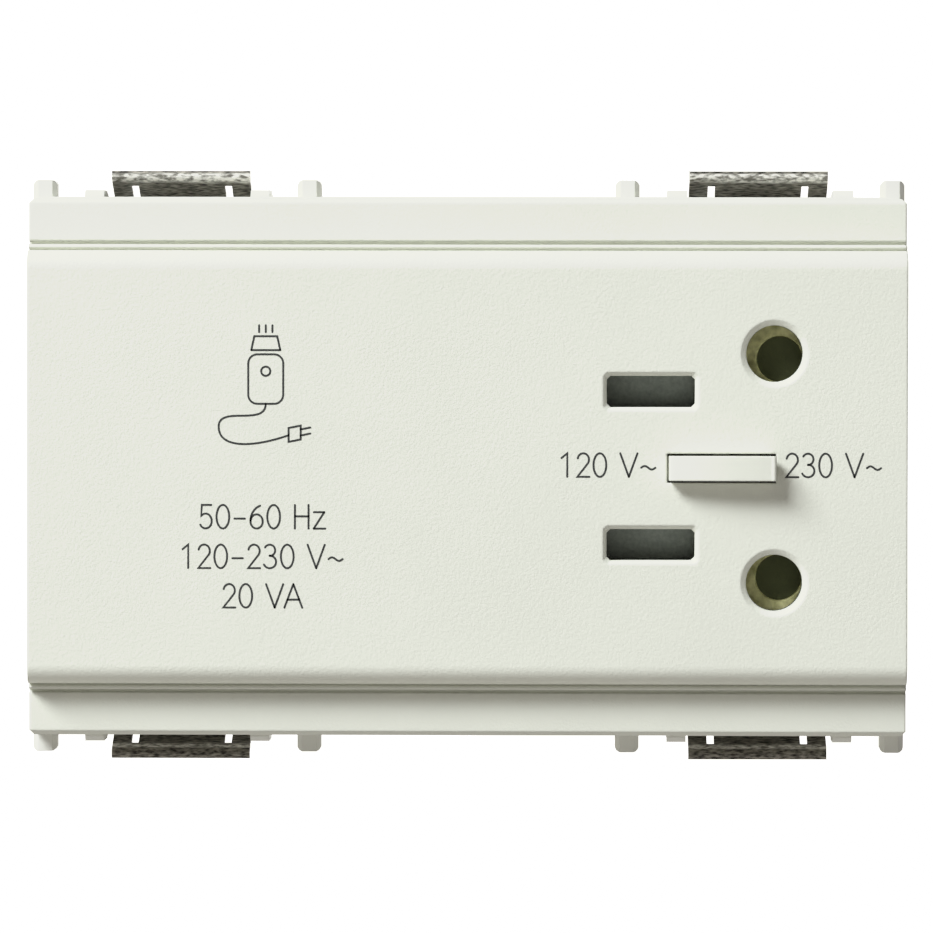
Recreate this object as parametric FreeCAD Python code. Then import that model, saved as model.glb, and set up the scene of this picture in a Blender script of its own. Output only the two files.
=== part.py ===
import FreeCAD
import Part
import math
import os

# A three-module shaver supply unit for a wall box, with an isolating transformer behind the
# contacts. X runs to the right of the face, Y runs from the face into the wall, Z is up.
# The plane y = 0 is the rear of the housing's rim, which seats on the support frame.

Vector = FreeCAD.Vector

# Clearances, bevels of moulded and cut edges, and the smallest radius drawn as an arc
running_gap = 0.3
slip_gap = 0.15
close_gap = 0.1
small_bevel = 0.2
large_bevel = 0.4
smallest_arc = 0.45
overlap = 0.3
past = 1.0

# Front outline
module_pitch = 24.4
module_count = 3
side_play = 0.2
cover_height = 44.7
cover_edge_round = 0.35

# Front profile, measured forwards from the seat plane and down from the face
face_above_seat = 8.0
shoulder_drop = 2.5
bead_drop = 1.9
shoulder_height = 4.35
face_edge_round = 1.5
foot_groove_width = 0.15
foot_groove_depth = 0.2
bead_width = 0.35
bead_bevel = 0.1
outer_groove_width = 0.3
outer_groove_depth = 0.25
face_wall = 2.0
cover_wall = 1.6
cover_rib_thickness = 1.0
cover_rib_height = 2.0
cover_rib_pitch = 10.0
cover_rib_count = 4

# Rim and housing
rim_thickness = 1.8
rim_side_inset = 0.2
rim_show = 0.2
rim_corner = 1.0
housing_side_inset = 1.2
housing_height_inset = 1.65
housing_depth = 41.0
housing_wall = 1.8
housing_floor = 2.0
housing_corner = 2.0
rear_chamfer = 1.5
partition = 1.2
post_clearance = 0.7
post_lap = 1.6

# Keys and guide ribs that stand out of the housing's upper and lower walls
key_width = 2.0
key_inset = 1.12
key_rise = 3.25
key_corner = 0.5
key_rib_rise = 1.5
key_rib_length = 9.0
key_rib_slope = 2.0
guide_width = 1.6
guide_gap = 0.29
guide_rise = 2.4
guide_length = 12.0
guide_end_rise = 0.4

# Spring clips and the straps that hold them
clip_width = 11.7
clip_thickness = 0.45
clip_tail_start = 17.0
clip_bend_start = 11.5
clip_nose_y = 2.9
clip_nose_rise = 3.45
clip_lip_y = 3.3
clip_lip_rise = 4.15
clip_nose_round = 0.6
clip_bend_round = 1.5
clip_slit_width = 0.6
clip_slit_spacing = 7.9
clip_slit_start = 1.4
clip_slit_length = 8.0
strap_width = 1.6
strap_side = 1.6
strap_height = 1.2
strap_offset = 1.0

# Snap tongues that hold the cover in the housing
tongue_width = 6.0
tongue_thickness = 1.2
tongue_length = 6.5
tongue_clearance = 2.87
hook_height = 0.9
hook_length = 2.0

# Plug entries, from the right end of the face
round_pitch = 19.0
round_from_end = 11.03
round_diameter = 4.7
round_bevel = 0.45
flat_pitch = 12.7
flat_from_round = 10.24
flat_length = 7.3
flat_width = 2.6
flat_bevel = 0.3
flat_corner = 0.3
bevel_depth = 0.3

# Selector
selector_from_round = 4.38
rocker_length = 8.6
rocker_width = 2.05
rocker_gap = 0.18
rocker_crest = 1.9
rocker_tilt = 4.0
rocker_round = 0.7
rocker_end_rise = 0.45
rocker_end_inset = 0.1
rocker_end_lift = 0.2
rocker_taper = 1.0
pivot_depth = 2.0
trunnion_radius = 0.8
trunnion_length = 6.0
trunnion_gap = 0.12
rocker_body_length = 6.4
rocker_body_width = 4.0
rocker_body_top = 0.6
rocker_body_depth = 3.2
plunger_radius = 0.9
plunger_reach = 4.66
plunger_nose = 0.6
plunger_tip_radius = 0.2
plunger_bore_depth = 3.0
plunger_shank = 1.9
spring_wire = 0.25
spring_turns = 3
wire_sides = 4
bridge_tilt = 9.0
bridge_length = 8.8
bridge_width = 2.6
bridge_thickness = 0.6
bridge_axis_y = -0.85
bridge_rise = 0.45
knife_radius = 0.2
knife_gap = 0.04
knife_taper = 0.8
notch_mouth = 2.4
button_radius = 0.9
button_height = 0.5
button_offset = 3.5
contact_gap = 0.06

# Contact carrier
carrier_side_wall = 1.23
carrier_depth = 20.0
carrier_back_thickness = 1.5
carrier_skin = 1.4
selector_well_depth = 9.0
selector_well_half_length = 5.9
selector_well_half_width = 3.6
selector_post_half = 1.8
selector_post_gap = 0.2

# Contacts
sleeve_outer = 4.9
sleeve_inner = 3.5
sleeve_length = 12.6
sleeve_base = 1.0
sleeve_mouth = 0.5
sleeve_lip = 0.1
sleeve_pitch = 18.7
sleeve_shift = 0.15
blade_thickness = 0.4
blade_width = 6.6
blade_throat = 1.3
blade_mouth = 2.6
blade_bulge = 2.4
blade_length = 12.0
blade_start = 0.4
blade_throat_at = 2.6
blade_bulge_at = 7.0
blade_throat_round = 1.5
blade_bulge_round = 2.0
blade_root_round = 0.4
tail_width = 2.4
tail_thickness = 0.8
tail_stand_out = 1.0
strip_thickness = 0.8
strip_margin = 1.2
contact_pad_half = 1.1
button_pad = 0.4

# Transformer, in the proportions of a standard E and I lamination
core_hole = 3.5
bobbin_wall = 1.0
bobbin_flange = 1.0
bobbin_play = 0.5
flange_margin = 2.1
winding_margin = 1.8
winding_round = 2.5
pin_size = 0.5
pin_length = 3.5
pin_pitch = 7.0
pin_count = 3

# Supply terminals and overload cut-out
terminal_pitch = 10.4
terminal_width = 7.0
terminal_depth = 9.6
terminal_height = 9.0
wire_bore = 4.0
wire_height = 6.5
terminal_screw = 3.4
screw_head = 5.0
screw_head_height = 1.6
screw_access = 5.6
screw_slot = 0.8
screw_slot_depth = 0.9
cutout_width = 12.0
cutout_depth = 9.0
cutout_height = 7.0
cutout_drop = 6.9
tab_width = 2.8
tab_thickness = 0.6
tab_length = 5.0
tab_pitch = 6.0

# Places worked out from the sizes
face_width = module_count * module_pitch - side_play
rim_width = face_width - 2 * rim_side_inset
rim_height = cover_height + 2 * rim_show
housing_width = face_width - 2 * housing_side_inset
housing_height = cover_height - 2 * housing_height_inset
face_block_height = cover_height - 2 * shoulder_height
y_face = -face_above_seat
y_shoulder = y_face + shoulder_drop
y_bead = y_face + bead_drop
y_rim = -rim_thickness
y_hook_end = y_rim + tongue_length + hook_length
y_cover_inside = y_face + face_wall
y_pivot = y_face + pivot_depth
y_floor = housing_depth - housing_floor
inner_x = housing_width / 2 - housing_wall
inner_z = housing_height / 2 - housing_wall
outer_z = housing_height / 2
clip_x = module_pitch
key_offset = module_pitch / 2 - key_inset
guide_offset = (clip_width + guide_width) / 2 + guide_gap
tongue_x = clip_x - key_offset - (key_width + tongue_width) / 2 - tongue_clearance

round_x = face_width / 2 - round_from_end
flat_x = round_x - flat_from_round
selector_x = round_x - selector_from_round

carrier_right = inner_x - running_gap
carrier_left = flat_x - blade_width / 2 - running_gap - carrier_side_wall
carrier_width = carrier_right - carrier_left
carrier_middle = (carrier_left + carrier_right) / 2
post_reach = (carrier_width - terminal_pitch - terminal_width) / 2 - post_clearance
carrier_height = face_block_height - 2 * (cover_wall + running_gap)
y_carrier_rear = y_cover_inside + carrier_depth
y_strip = y_carrier_rear + carrier_back_thickness
y_tail_end = y_strip + strip_thickness + tail_stand_out
y_well = y_cover_inside + selector_well_depth

core_left = -inner_x + close_gap
core_width = carrier_left - 2 * running_gap - partition - core_left
core_middle = core_left + core_width / 2
centre_leg = core_width / 3
core_leg = core_width / 6
core_window = core_width / 6
rib_room = y_floor - y_cover_inside - cover_rib_height - running_gap
hook_room = y_floor - y_hook_end - running_gap + core_leg
core_depth = min(core_width * 5 / 6, rib_room, hook_room)
core_front = y_floor - core_depth
winding_height = core_window - winding_margin
bobbin_reach = inner_z - bobbin_play
core_stack = 2 * (bobbin_reach - flange_margin - winding_height - bobbin_wall - close_gap)
bobbin_front = core_front + core_leg + close_gap
bobbin_rear = core_front + core_depth - core_leg - close_gap

terminal_base = -inner_z + running_gap
wire_axis_z = -inner_z + wire_height
shelf_z = terminal_base + terminal_height + running_gap


def box(x0, x1, y0, y1, z0, z1):
    """Block between two corners."""
    return Part.makeBox(x1 - x0, y1 - y0, z1 - z0, Vector(x0, y0, z0))


def rod(x, y0, y1, z, radius):
    """Cylinder along Y."""
    return Part.makeCylinder(radius, y1 - y0, Vector(x, y0, z), Vector(0, 1, 0))


def upright(x, y, z0, z1, radius):
    """Cylinder along Z."""
    return Part.makeCylinder(radius, z1 - z0, Vector(x, y, z0), Vector(0, 0, 1))


def cone(x, y0, y1, z, radius0, radius1):
    """Cone along Y from radius0 at y0 to radius1 at y1."""
    return Part.makeCone(radius0, radius1, y1 - y0, Vector(x, y0, z), Vector(0, 1, 0))


def rounded_wire(corners, place):
    """Closed wire through corners (a, b, radius), each rounded by a tangent arc or bevelled."""
    count = len(corners)
    points = [place(a, b) for a, b, _ in corners]
    starts = []
    ends = []
    middles = []
    for index, (_, _, radius) in enumerate(corners):
        point = points[index]
        back = (points[index - 1] - point).normalize()
        ahead = (points[(index + 1) % count] - point).normalize()
        half = back.getAngle(ahead) / 2
        reach = radius / math.tan(half)
        starts.append(point + back * reach)
        ends.append(point + ahead * reach)
        bisector = (back + ahead).normalize()
        middles.append(point + bisector * (radius / math.sin(half) - radius))
    edges = []
    for index in range(count):
        radius = corners[index][2]
        if radius >= smallest_arc:
            edges.append(Part.Arc(starts[index], middles[index], ends[index]).toShape())
        elif radius > 0:
            edges.append(Part.makeLine(starts[index], ends[index]))
        here = ends[index]
        there = starts[(index + 1) % count]
        if (there - here).Length > 1e-6:
            edges.append(Part.makeLine(here, there))
    return Part.Wire(edges)


def prism_y(corners, y0, y1):
    """Outline in X and Z carried along Y."""
    wire = rounded_wire(corners, lambda a, b: Vector(a, y0, b))
    return Part.Face(wire).extrude(Vector(0, y1 - y0, 0))


def prism_x(corners, x0, x1):
    """Outline in Y and Z carried along X."""
    wire = rounded_wire(corners, lambda a, b: Vector(x0, a, b))
    return Part.Face(wire).extrude(Vector(x1 - x0, 0, 0))


def prism_z(corners, z0, z1):
    """Outline in X and Y carried along Z."""
    wire = rounded_wire(corners, lambda a, b: Vector(a, b, z0))
    return Part.Face(wire).extrude(Vector(0, 0, z1 - z0))


def rectangle(width, height, corner, a=0.0, b=0.0):
    """Corners of a rectangle centred at a, b."""
    half_w = width / 2
    half_h = height / 2
    lower = [(a - half_w, b - half_h, corner), (a + half_w, b - half_h, corner)]
    return lower + [(a + half_w, b + half_h, corner), (a - half_w, b + half_h, corner)]


def plate(width, height, corner, y0, y1, x=0.0, z=0.0):
    """Rectangle with rounded corners, centred at x and z, between two depths."""
    return prism_y(rectangle(width, height, corner, x, z), y0, y1)


def turned(shape, x, y, degrees):
    """Shape turned about a line along Z through x, y."""
    copy = shape.copy()
    copy.rotate(Vector(x, y, 0), Vector(0, 0, 1), degrees)
    return copy


def upside(shape):
    """Mirror image of a shape in the plane z = 0."""
    return shape.mirror(Vector(0, 0, 0), Vector(0, 0, 1))


def join(first, others):
    """Union with the seams between flush faces removed."""
    return first.fuse(others).removeSplitter()


def spread(pitch, count):
    """Positions spaced evenly about zero."""
    return [(index - (count - 1) / 2) * pitch for index in range(count)]


def rocker_window():
    """Space swept by the rocker's curved ends, wider than the rocker by its gap all round."""
    radius = math.hypot(rocker_length / 2, pivot_depth) + rocker_gap
    half = rocker_width / 2 + rocker_gap
    return upright(selector_x, y_pivot, -half, half, radius)


def pin_entries(y0, y1):
    """Round and flat openings for plug pins through a wall."""
    cuts = [rod(round_x, y0, y1, z, round_diameter / 2) for z in spread(round_pitch, 2)]
    for z in spread(flat_pitch, 2):
        cuts.append(plate(flat_length, flat_width, flat_corner, y0, y1, flat_x, z))
    return cuts


def entry_bevels():
    """Bevels round the mouths of the pin openings."""
    radius = round_diameter / 2
    y1 = y_face + bevel_depth
    cuts = [cone(round_x, y_face, y1, z, radius + round_bevel, radius) for z in spread(round_pitch, 2)]
    for z in spread(flat_pitch, 2):
        wires = []
        for grow, y in ((2 * flat_bevel, y_face), (0.0, y1)):
            corners = rectangle(flat_length + grow, flat_width + grow, flat_corner, flat_x, z)
            wires.append(rounded_wire(corners, lambda a, b, depth=y: Vector(a, depth, b)))
        cuts.append(Part.makeLoft(wires, True, True))
    return cuts


def trunnion_seats():
    """Two round seats for the rocker's trunnions, shared by the cover and the carrier."""
    half = trunnion_length / 2 + running_gap
    return upright(selector_x, y_pivot, -half, half, trunnion_radius + trunnion_gap)


def snap_tongue(x):
    """Tongue under the upper shoulder with a hook that springs into the housing's window."""
    outer = inner_z - slip_gap
    hook_start = y_hook_end - hook_length
    y0 = y_shoulder + cover_wall
    corners = [(y0, outer - tongue_thickness, 0), (y_hook_end, outer - tongue_thickness, small_bevel)]
    corners += [(y_hook_end, outer, 0), (hook_start, outer + hook_height, small_bevel)]
    corners += [(hook_start, outer, 0), (y0, outer, 0)]
    return prism_x(corners, x - tongue_width / 2, x + tongue_width / 2)


def hook_window(x):
    """Opening in the housing's upper wall that a hook springs into."""
    half = tongue_width / 2 + running_gap
    y0 = y_hook_end - hook_length - slip_gap
    return box(x - half, x + half, y0, y_hook_end + running_gap, inner_z - past, outer_z + past)


def front_profile():
    """Upper half of the cover's section: skirt, shoulder, groove, bead, groove, block, face."""
    half_cover = cover_height / 2
    foot = face_block_height / 2
    bead_start = foot + foot_groove_width
    bead_end = bead_start + bead_width
    groove_end = bead_end + outer_groove_width
    y_outer_groove = y_shoulder + outer_groove_depth
    y_foot_groove = y_bead + foot_groove_depth
    profile = [(y_rim, half_cover, 0), (y_shoulder, half_cover, cover_edge_round)]
    profile += [(y_shoulder, groove_end, 0), (y_outer_groove, groove_end, 0), (y_outer_groove, bead_end, 0)]
    profile += [(y_bead, bead_end, bead_bevel), (y_bead, bead_start, bead_bevel), (y_foot_groove, bead_start, 0)]
    profile += [(y_foot_groove, foot, 0), (y_face, foot, face_edge_round)]
    return profile


def cover_cavity():
    """Hollow of the cover behind the face and the shoulders."""
    outer = cover_height / 2 - cover_wall
    inner = face_block_height / 2 - cover_wall
    roof = y_shoulder + cover_wall
    upper = [(y_rim + past, outer, 0), (roof, outer, small_bevel), (roof, inner, 0)]
    upper += [(y_cover_inside, inner, small_bevel)]
    lower = [(a, -b, radius) for a, b, radius in reversed(upper)]
    half = face_width / 2 - cover_wall
    return prism_x(upper + lower, -half, half)


def front_cover():
    """Moulded cover: raised face, stepped shoulders above and below, skirt and snap tongues."""
    upper = front_profile()
    lower = [(a, -b, radius) for a, b, radius in reversed(upper)]
    half_width = face_width / 2
    body = prism_x(upper + lower, -half_width, half_width)
    body = body.common(plate(face_width, cover_height, large_bevel, y_face - past, y_rim + past))
    cavity = cover_cavity()
    body = body.cut(cavity)
    body = body.cut(pin_entries(y_face - past, y_cover_inside + past) + entry_bevels())
    body = body.cut([rocker_window(), trunnion_seats()])
    ribs = []
    reach = face_block_height / 2
    half = cover_rib_thickness / 2
    for offset in spread(cover_rib_pitch, cover_rib_count):
        x = core_middle + offset
        y1 = y_cover_inside + cover_rib_height
        ribs.append(box(x - half, x + half, y_cover_inside, y1, -reach, reach).common(cavity))
    tongues = []
    for x in (-tongue_x, tongue_x):
        tongues += [snap_tongue(x), upside(snap_tongue(x))]
    return join(body, ribs + tongues)


def key(x):
    """Blunt key on the rim, rounded above and bevelled in front, with a rib behind it."""
    half = key_width / 2
    base = outer_z - overlap
    top = outer_z + key_rise
    outline = [(x - half, base, 0), (x + half, base, 0)]
    outline += [(x + half, top, key_corner), (x - half, top, key_corner)]
    footprint = [(x - half, y_rim, large_bevel), (x + half, y_rim, large_bevel)]
    footprint += [(x + half, past, 0), (x - half, past, 0)]
    head = prism_y(outline, y_rim, 0.0).common(prism_z(footprint, base, top))
    rib_top = outer_z + key_rib_rise
    rib = [(0.0, base, 0), (key_rib_length, base, 0), (key_rib_length, outer_z + overlap, 0)]
    rib += [(key_rib_length - key_rib_slope, rib_top, 0), (0.0, rib_top, 0)]
    return [head, prism_x(rib, x - half, x + half)]


def guide(x):
    """Low guide rib that starts at the rim and slopes down along the wall."""
    half = guide_width / 2
    base = outer_z - overlap
    top = outer_z + guide_rise
    corners = [(y_rim, base, 0), (guide_length, base, 0), (guide_length, outer_z + guide_end_rise, 0)]
    corners += [(-y_rim, top, large_bevel), (y_rim, top, large_bevel)]
    return prism_x(corners, x - half, x + half)


def upper_wall_trim():
    """Keys, guide ribs and clip straps on the housing's upper wall."""
    pieces = []
    for x in (-clip_x, clip_x):
        for turn in (-1, 1):
            pieces += key(x + turn * key_offset)
            pieces.append(guide(x + turn * guide_offset))
        pieces.append(clip_strap(x))
    return pieces


def clip_strap(x):
    """Bridge moulded over a clip's tail, open along Y so that the tail slides under it."""
    half = clip_width / 2
    base = outer_z - overlap
    under = outer_z + clip_thickness + close_gap
    y1 = clip_tail_start - strap_offset
    y0 = y1 - strap_width
    side = half + strap_side
    outline = box(x - side, x + side, y0, y1, base, under + strap_height)
    tunnel = box(x - half - close_gap, x + half + close_gap, y0 - past, y1 + past, outer_z, under)
    y_stop = clip_tail_start + close_gap
    stop = box(x - half, x + half, y_stop, y_stop + strap_width, base, under)
    return outline.cut(tunnel).fuse(stop)


def spring_clip(x):
    """Folded spring-steel strip: flat tail under the strap, sloping blade, lip turned back."""
    rise = clip_nose_rise
    slope = math.atan2(rise, clip_bend_start - clip_nose_y)
    lean = math.atan2(clip_lip_y - clip_nose_y, clip_lip_rise - rise)
    back_y = clip_nose_y + clip_thickness / math.cos(lean)
    top = outer_z + clip_lip_rise
    front = [(clip_tail_start, outer_z, 0), (clip_bend_start, outer_z, clip_bend_round + clip_thickness)]
    front += [(clip_nose_y, outer_z + rise, clip_nose_round), (clip_lip_y, top, 0)]
    inner_rise = rise + clip_thickness / math.cos(slope) - (back_y - clip_nose_y) * math.tan(slope)
    back = [(clip_lip_y + back_y - clip_nose_y, top, 0)]
    back += [(back_y, outer_z + inner_rise, clip_nose_round - clip_thickness)]
    bend_y = clip_bend_start + clip_thickness * math.tan(slope / 2)
    back += [(bend_y, outer_z + clip_thickness, clip_bend_round)]
    back += [(clip_tail_start, outer_z + clip_thickness, 0)]
    half = clip_width / 2
    strip = prism_x(front + back, x - half, x + half)
    slits = []
    y0 = clip_nose_y + clip_slit_start
    half_slit = clip_slit_width / 2
    for offset in spread(clip_slit_spacing, 2):
        x_slit = x + offset
        y1 = y0 + clip_slit_length
        slits.append(box(x_slit - half_slit, x_slit + half_slit, y0, y1, outer_z - past, top))
    return strip.cut(slits)


def rear_housing():
    """Deep moulded box: rim, walls, floor with wire entries, inner posts and partitions."""
    body = plate(housing_width, housing_height, housing_corner, y_rim, housing_depth)
    rear = [edge for edge in body.Edges if min(v.Y for v in edge.Vertexes) > housing_depth - 0.01]
    body = body.makeChamfer(rear_chamfer, rear)
    body = join(body, [plate(rim_width, rim_height, rim_corner, y_rim, 0.0)])
    trim = upper_wall_trim()
    body = join(body, trim + [upside(piece) for piece in trim])
    body = body.cut(plate(2 * inner_x, 2 * inner_z, large_bevel, y_rim - past, y_floor))
    windows = []
    for x in (-tongue_x, tongue_x):
        windows += [hook_window(x), upside(hook_window(x))]
    body = body.cut(windows)
    body = join(body, housing_posts())
    entries = []
    for x in terminal_places():
        entries.append(rod(x, y_floor - past, housing_depth + past, wire_axis_z, wire_bore / 2))
        y_screw = y_floor - terminal_depth / 2
        entries.append(upright(x, y_screw, -outer_z - past, -inner_z + past / 2, screw_access / 2))
    return body.cut(entries)


def terminal_places():
    """Positions across the housing of the supply terminals."""
    return [carrier_middle + offset for offset in spread(terminal_pitch, 2)]


def corner_posts():
    """Posts in the corners that the carrier's back rests on."""
    left = carrier_left - running_gap - partition
    low = carrier_height / 2 - post_lap
    high = inner_z + overlap
    pieces = []
    for x0, x1 in ((left, carrier_left + post_reach), (carrier_right - post_reach, inner_x + overlap)):
        for z0, z1 in ((low, high), (-high, -low)):
            pieces.append(box(x0, x1, y_strip, y_floor + overlap, z0, z1))
    return pieces


def housing_posts():
    """Partition beside the transformer, corner posts, ribs under the core, terminal walls."""
    left = carrier_left - running_gap - partition
    y1 = y_floor + overlap
    z0 = -inner_z - overlap
    pieces = corner_posts()
    pieces.append(box(left, left + partition, y_strip, y1, z0, -z0))
    y0 = y_floor - terminal_depth
    places = terminal_places()
    start = places[0] - terminal_width / 2 - running_gap - partition
    end = places[-1] + terminal_width / 2 + running_gap
    middle = carrier_middle - partition / 2
    for x in (start, middle, end):
        pieces.append(box(x, x + partition, y0, y1, z0, shelf_z + overlap))
    pieces.append(box(start, end + partition, y0, y1, shelf_z, shelf_z + partition))
    return pieces


def contact_carrier():
    """Moulded insert that holds every contact, with a well for the selector."""
    y1 = y_carrier_rear
    body = plate(carrier_width, carrier_height, large_bevel, y_cover_inside, y1, carrier_middle)
    y_pocket = y_cover_inside + carrier_skin
    body = body.cut(pin_entries(y_cover_inside - past, y_pocket + past / 2))
    pockets = []
    width = sleeve_outer + 2 * slip_gap
    for z in spread(sleeve_pitch, 2):
        pockets.append(plate(width, width, 0, y_pocket, y1 + past, round_x + sleeve_shift, z))
    height = blade_bulge + 2 * (blade_thickness + running_gap)
    for z in spread(flat_pitch, 2):
        width = blade_width + 2 * running_gap
        pockets.append(plate(width, height, 0, y_pocket, y1 + past, flat_x, z))
    body = body.cut(pockets)
    half_x = selector_well_half_length
    half_z = selector_well_half_width
    body = body.cut(plate(2 * half_x, 2 * half_z, 0, y_cover_inside - past, y_well, selector_x))
    posts = []
    inner = rocker_body_width / 2 + selector_post_gap
    outer = half_z + overlap
    half = selector_post_half
    for z0, z1 in ((inner, outer), (-outer, -inner)):
        posts.append(box(selector_x - half, selector_x + half, y_cover_inside, y_well + overlap, z0, z1))
    body = join(body, posts)
    body = body.cut(trunnion_seats())
    tails = []
    width = tail_thickness + close_gap
    height = tail_width + close_gap
    for x in selector_tail_places():
        tails.append(plate(width, height, 0, y_well - past, y1 + past, x))
    return body.cut(tails)


def selector_tail_places():
    """Positions of the three selector terminals: left contact, common, right contact."""
    return [selector_x + offset for offset in spread(button_offset, 3)]


def tail_slots(y0, y1):
    """Slots for every contact tail through a plate or strip."""
    width = tail_width + 2 * close_gap
    height = tail_thickness + 2 * close_gap
    slots = [plate(width, height, 0, y0, y1, flat_x, z) for z in spread(flat_pitch, 2)]
    slots += [plate(width, height, 0, y0, y1, round_x + sleeve_shift, z) for z in spread(sleeve_pitch, 2)]
    slots += [plate(height, width, 0, y0, y1, x) for x in selector_tail_places()]
    return slots


def carrier_back():
    """Insulating plate that closes the carrier, slotted for the contact tails."""
    body = plate(carrier_width, carrier_height, large_bevel, y_carrier_rear, y_strip, carrier_middle)
    return body.cut(tail_slots(y_carrier_rear - past, y_strip + past))


def round_contact(z):
    """Turned brass sleeve with a bevelled mouth and a flat tail."""
    x = round_x + sleeve_shift
    y0 = y_cover_inside + carrier_skin + close_gap
    y1 = y0 + sleeve_length
    outer = sleeve_outer / 2
    inner = sleeve_inner / 2
    tube = rod(x, y0, y1, z, outer).cut(rod(x, y0 - past, y1 - sleeve_base, z, inner))
    tube = tube.cut(cone(x, y0, y0 + sleeve_mouth, z, outer - sleeve_lip, inner))
    tail = plate(tail_width, tail_thickness, 0, y1 - overlap, y_tail_end, x, z)
    return join(tube, [tail])


def flat_contact(z):
    """Spring blades bent like a lyre, open to the front, with a flat tail."""
    y0 = y_cover_inside + carrier_skin + blade_start
    y1 = y0 + blade_length
    t = blade_thickness
    throat = y0 + blade_throat_at
    bulge = y0 + blade_bulge_at
    inner = [(y0, blade_mouth / 2, 0), (throat, blade_throat / 2, blade_throat_round)]
    inner += [(bulge, blade_bulge / 2, blade_bulge_round), (y1 - t, tail_thickness / 2, blade_root_round)]
    outer = [(y0, blade_mouth / 2 + t, 0), (throat, blade_throat / 2 + t, blade_throat_round - t)]
    outer += [(bulge, blade_bulge / 2 + t, blade_bulge_round + t)]
    outer += [(y1, tail_thickness / 2 + t, blade_root_round + t)]
    upper = [(a, z + b, radius) for a, b, radius in outer]
    lower = [(a, z - b, radius) for a, b, radius in reversed(outer)]
    inner_lower = [(a, z - b, radius) for a, b, radius in inner]
    inner_upper = [(a, z + b, radius) for a, b, radius in reversed(inner)]
    x0 = flat_x - blade_width / 2
    spring = prism_x(upper + lower + inner_lower + inner_upper, x0, x0 + blade_width)
    tail = plate(tail_width, tail_thickness, 0, y1 - overlap, y_tail_end, flat_x, z)
    return join(spring, [tail])


def pole_strip():
    """Brass strip across the upper flat and round contact tails, seated on the back plate."""
    left = flat_x - tail_width / 2 - strip_margin
    right = round_x + sleeve_shift + tail_width / 2 + strip_margin
    flat_right = flat_x + tail_width / 2 + strip_margin
    reach = tail_thickness / 2 + strip_margin
    z_flat = flat_pitch / 2
    z_round = sleeve_pitch / 2
    corners = [(left, z_flat - reach, large_bevel), (flat_right, z_flat - reach, large_bevel)]
    corners += [(right, z_round - reach, large_bevel), (right, z_round + reach, large_bevel)]
    corners += [(flat_right, z_flat + reach + strip_margin / 2, 0), (left, z_flat + reach, large_bevel)]
    strip = prism_y(corners, y_strip, y_strip + strip_thickness)
    return strip.cut(tail_slots(y_strip - past, y_strip + strip_thickness + past))


def rocker_outline():
    """Section of the grip along X: arched top, curved ends about the trunnions, tapered root."""
    radius = math.hypot(rocker_length / 2, pivot_depth)
    v_face = pivot_depth + rocker_end_rise
    v_low = trunnion_radius + rocker_end_lift
    u_face = math.sqrt(radius ** 2 - v_face ** 2)
    u_low = math.sqrt(radius ** 2 - v_low ** 2)
    crest = pivot_depth + rocker_crest
    u_top = u_face - rocker_end_inset
    slope = math.tan(math.radians(rocker_tilt))
    v_top = crest - u_top * slope / 2
    middle = (math.atan2(v_face, u_face) + math.atan2(v_low, u_low)) / 2
    u_mid = radius * math.cos(middle)
    v_mid = radius * math.sin(middle)
    half = rocker_width / 2

    def at(u, v):
        return Vector(selector_x + u, y_pivot - v, -half)

    def top_corner(side):
        point = at(side * u_top, v_top)
        back = (at(side * u_face, v_face) - point).normalize()
        ahead = (at(0, v_top + u_top * slope) - point).normalize()
        angle = back.getAngle(ahead) / 2
        reach = rocker_round / math.tan(angle)
        centre = (back + ahead).normalize() * (rocker_round / math.sin(angle) - rocker_round)
        return point + back * reach, point + centre, point + ahead * reach

    wall_r, mid_r, roof_r = top_corner(1)
    wall_l, mid_l, roof_l = top_corner(-1)
    neck = trunnion_radius / 2
    root = rocker_body_top + overlap
    shoulder = neck + rocker_taper
    edges = [Part.makeLine(at(-neck, -root), at(neck, -root))]
    edges.append(Part.makeLine(at(neck, -root), at(shoulder, overlap)))
    edges.append(Part.makeLine(at(shoulder, overlap), at(u_low, v_low)))
    edges.append(Part.Arc(at(u_low, v_low), at(u_mid, v_mid), at(u_face, v_face)).toShape())
    edges.append(Part.makeLine(at(u_face, v_face), wall_r))
    edges.append(Part.Arc(wall_r, mid_r, roof_r).toShape())
    edges.append(Part.Arc(roof_r, at(0, crest), roof_l).toShape())
    edges.append(Part.Arc(roof_l, mid_l, wall_l).toShape())
    edges.append(Part.makeLine(wall_l, at(-u_face, v_face)))
    edges.append(Part.Arc(at(-u_face, v_face), at(-u_mid, v_mid), at(-u_low, v_low)).toShape())
    edges.append(Part.makeLine(at(-u_low, v_low), at(-shoulder, overlap)))
    edges.append(Part.makeLine(at(-shoulder, overlap), at(-neck, -root)))
    return Part.Wire(edges)


def selector_rocker():
    """Rocker with an arched grip, two trunnions and a bored foot, at rest with its left end in."""
    grip = Part.Face(rocker_outline()).extrude(Vector(0, 0, rocker_width))
    half = trunnion_length / 2
    trunnion = upright(selector_x, y_pivot, -half, half, trunnion_radius)
    half_l = rocker_body_length / 2
    half_w = rocker_body_width / 2
    y_top = y_pivot + rocker_body_top
    y_low = y_pivot + rocker_body_depth
    foot = [(selector_x - half_l, y_top, small_bevel), (selector_x + half_l, y_top, small_bevel)]
    foot += [(selector_x + half_l / 2, y_low, large_bevel), (selector_x - half_l / 2, y_low, large_bevel)]
    body = join(grip, [trunnion, prism_z(foot, -half_w, half_w)])
    bore = rod(selector_x, y_low - plunger_bore_depth, y_low + past, 0.0, plunger_radius + close_gap / 2)
    return turned(body.cut(bore), selector_x, y_pivot, -rocker_tilt)


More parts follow.
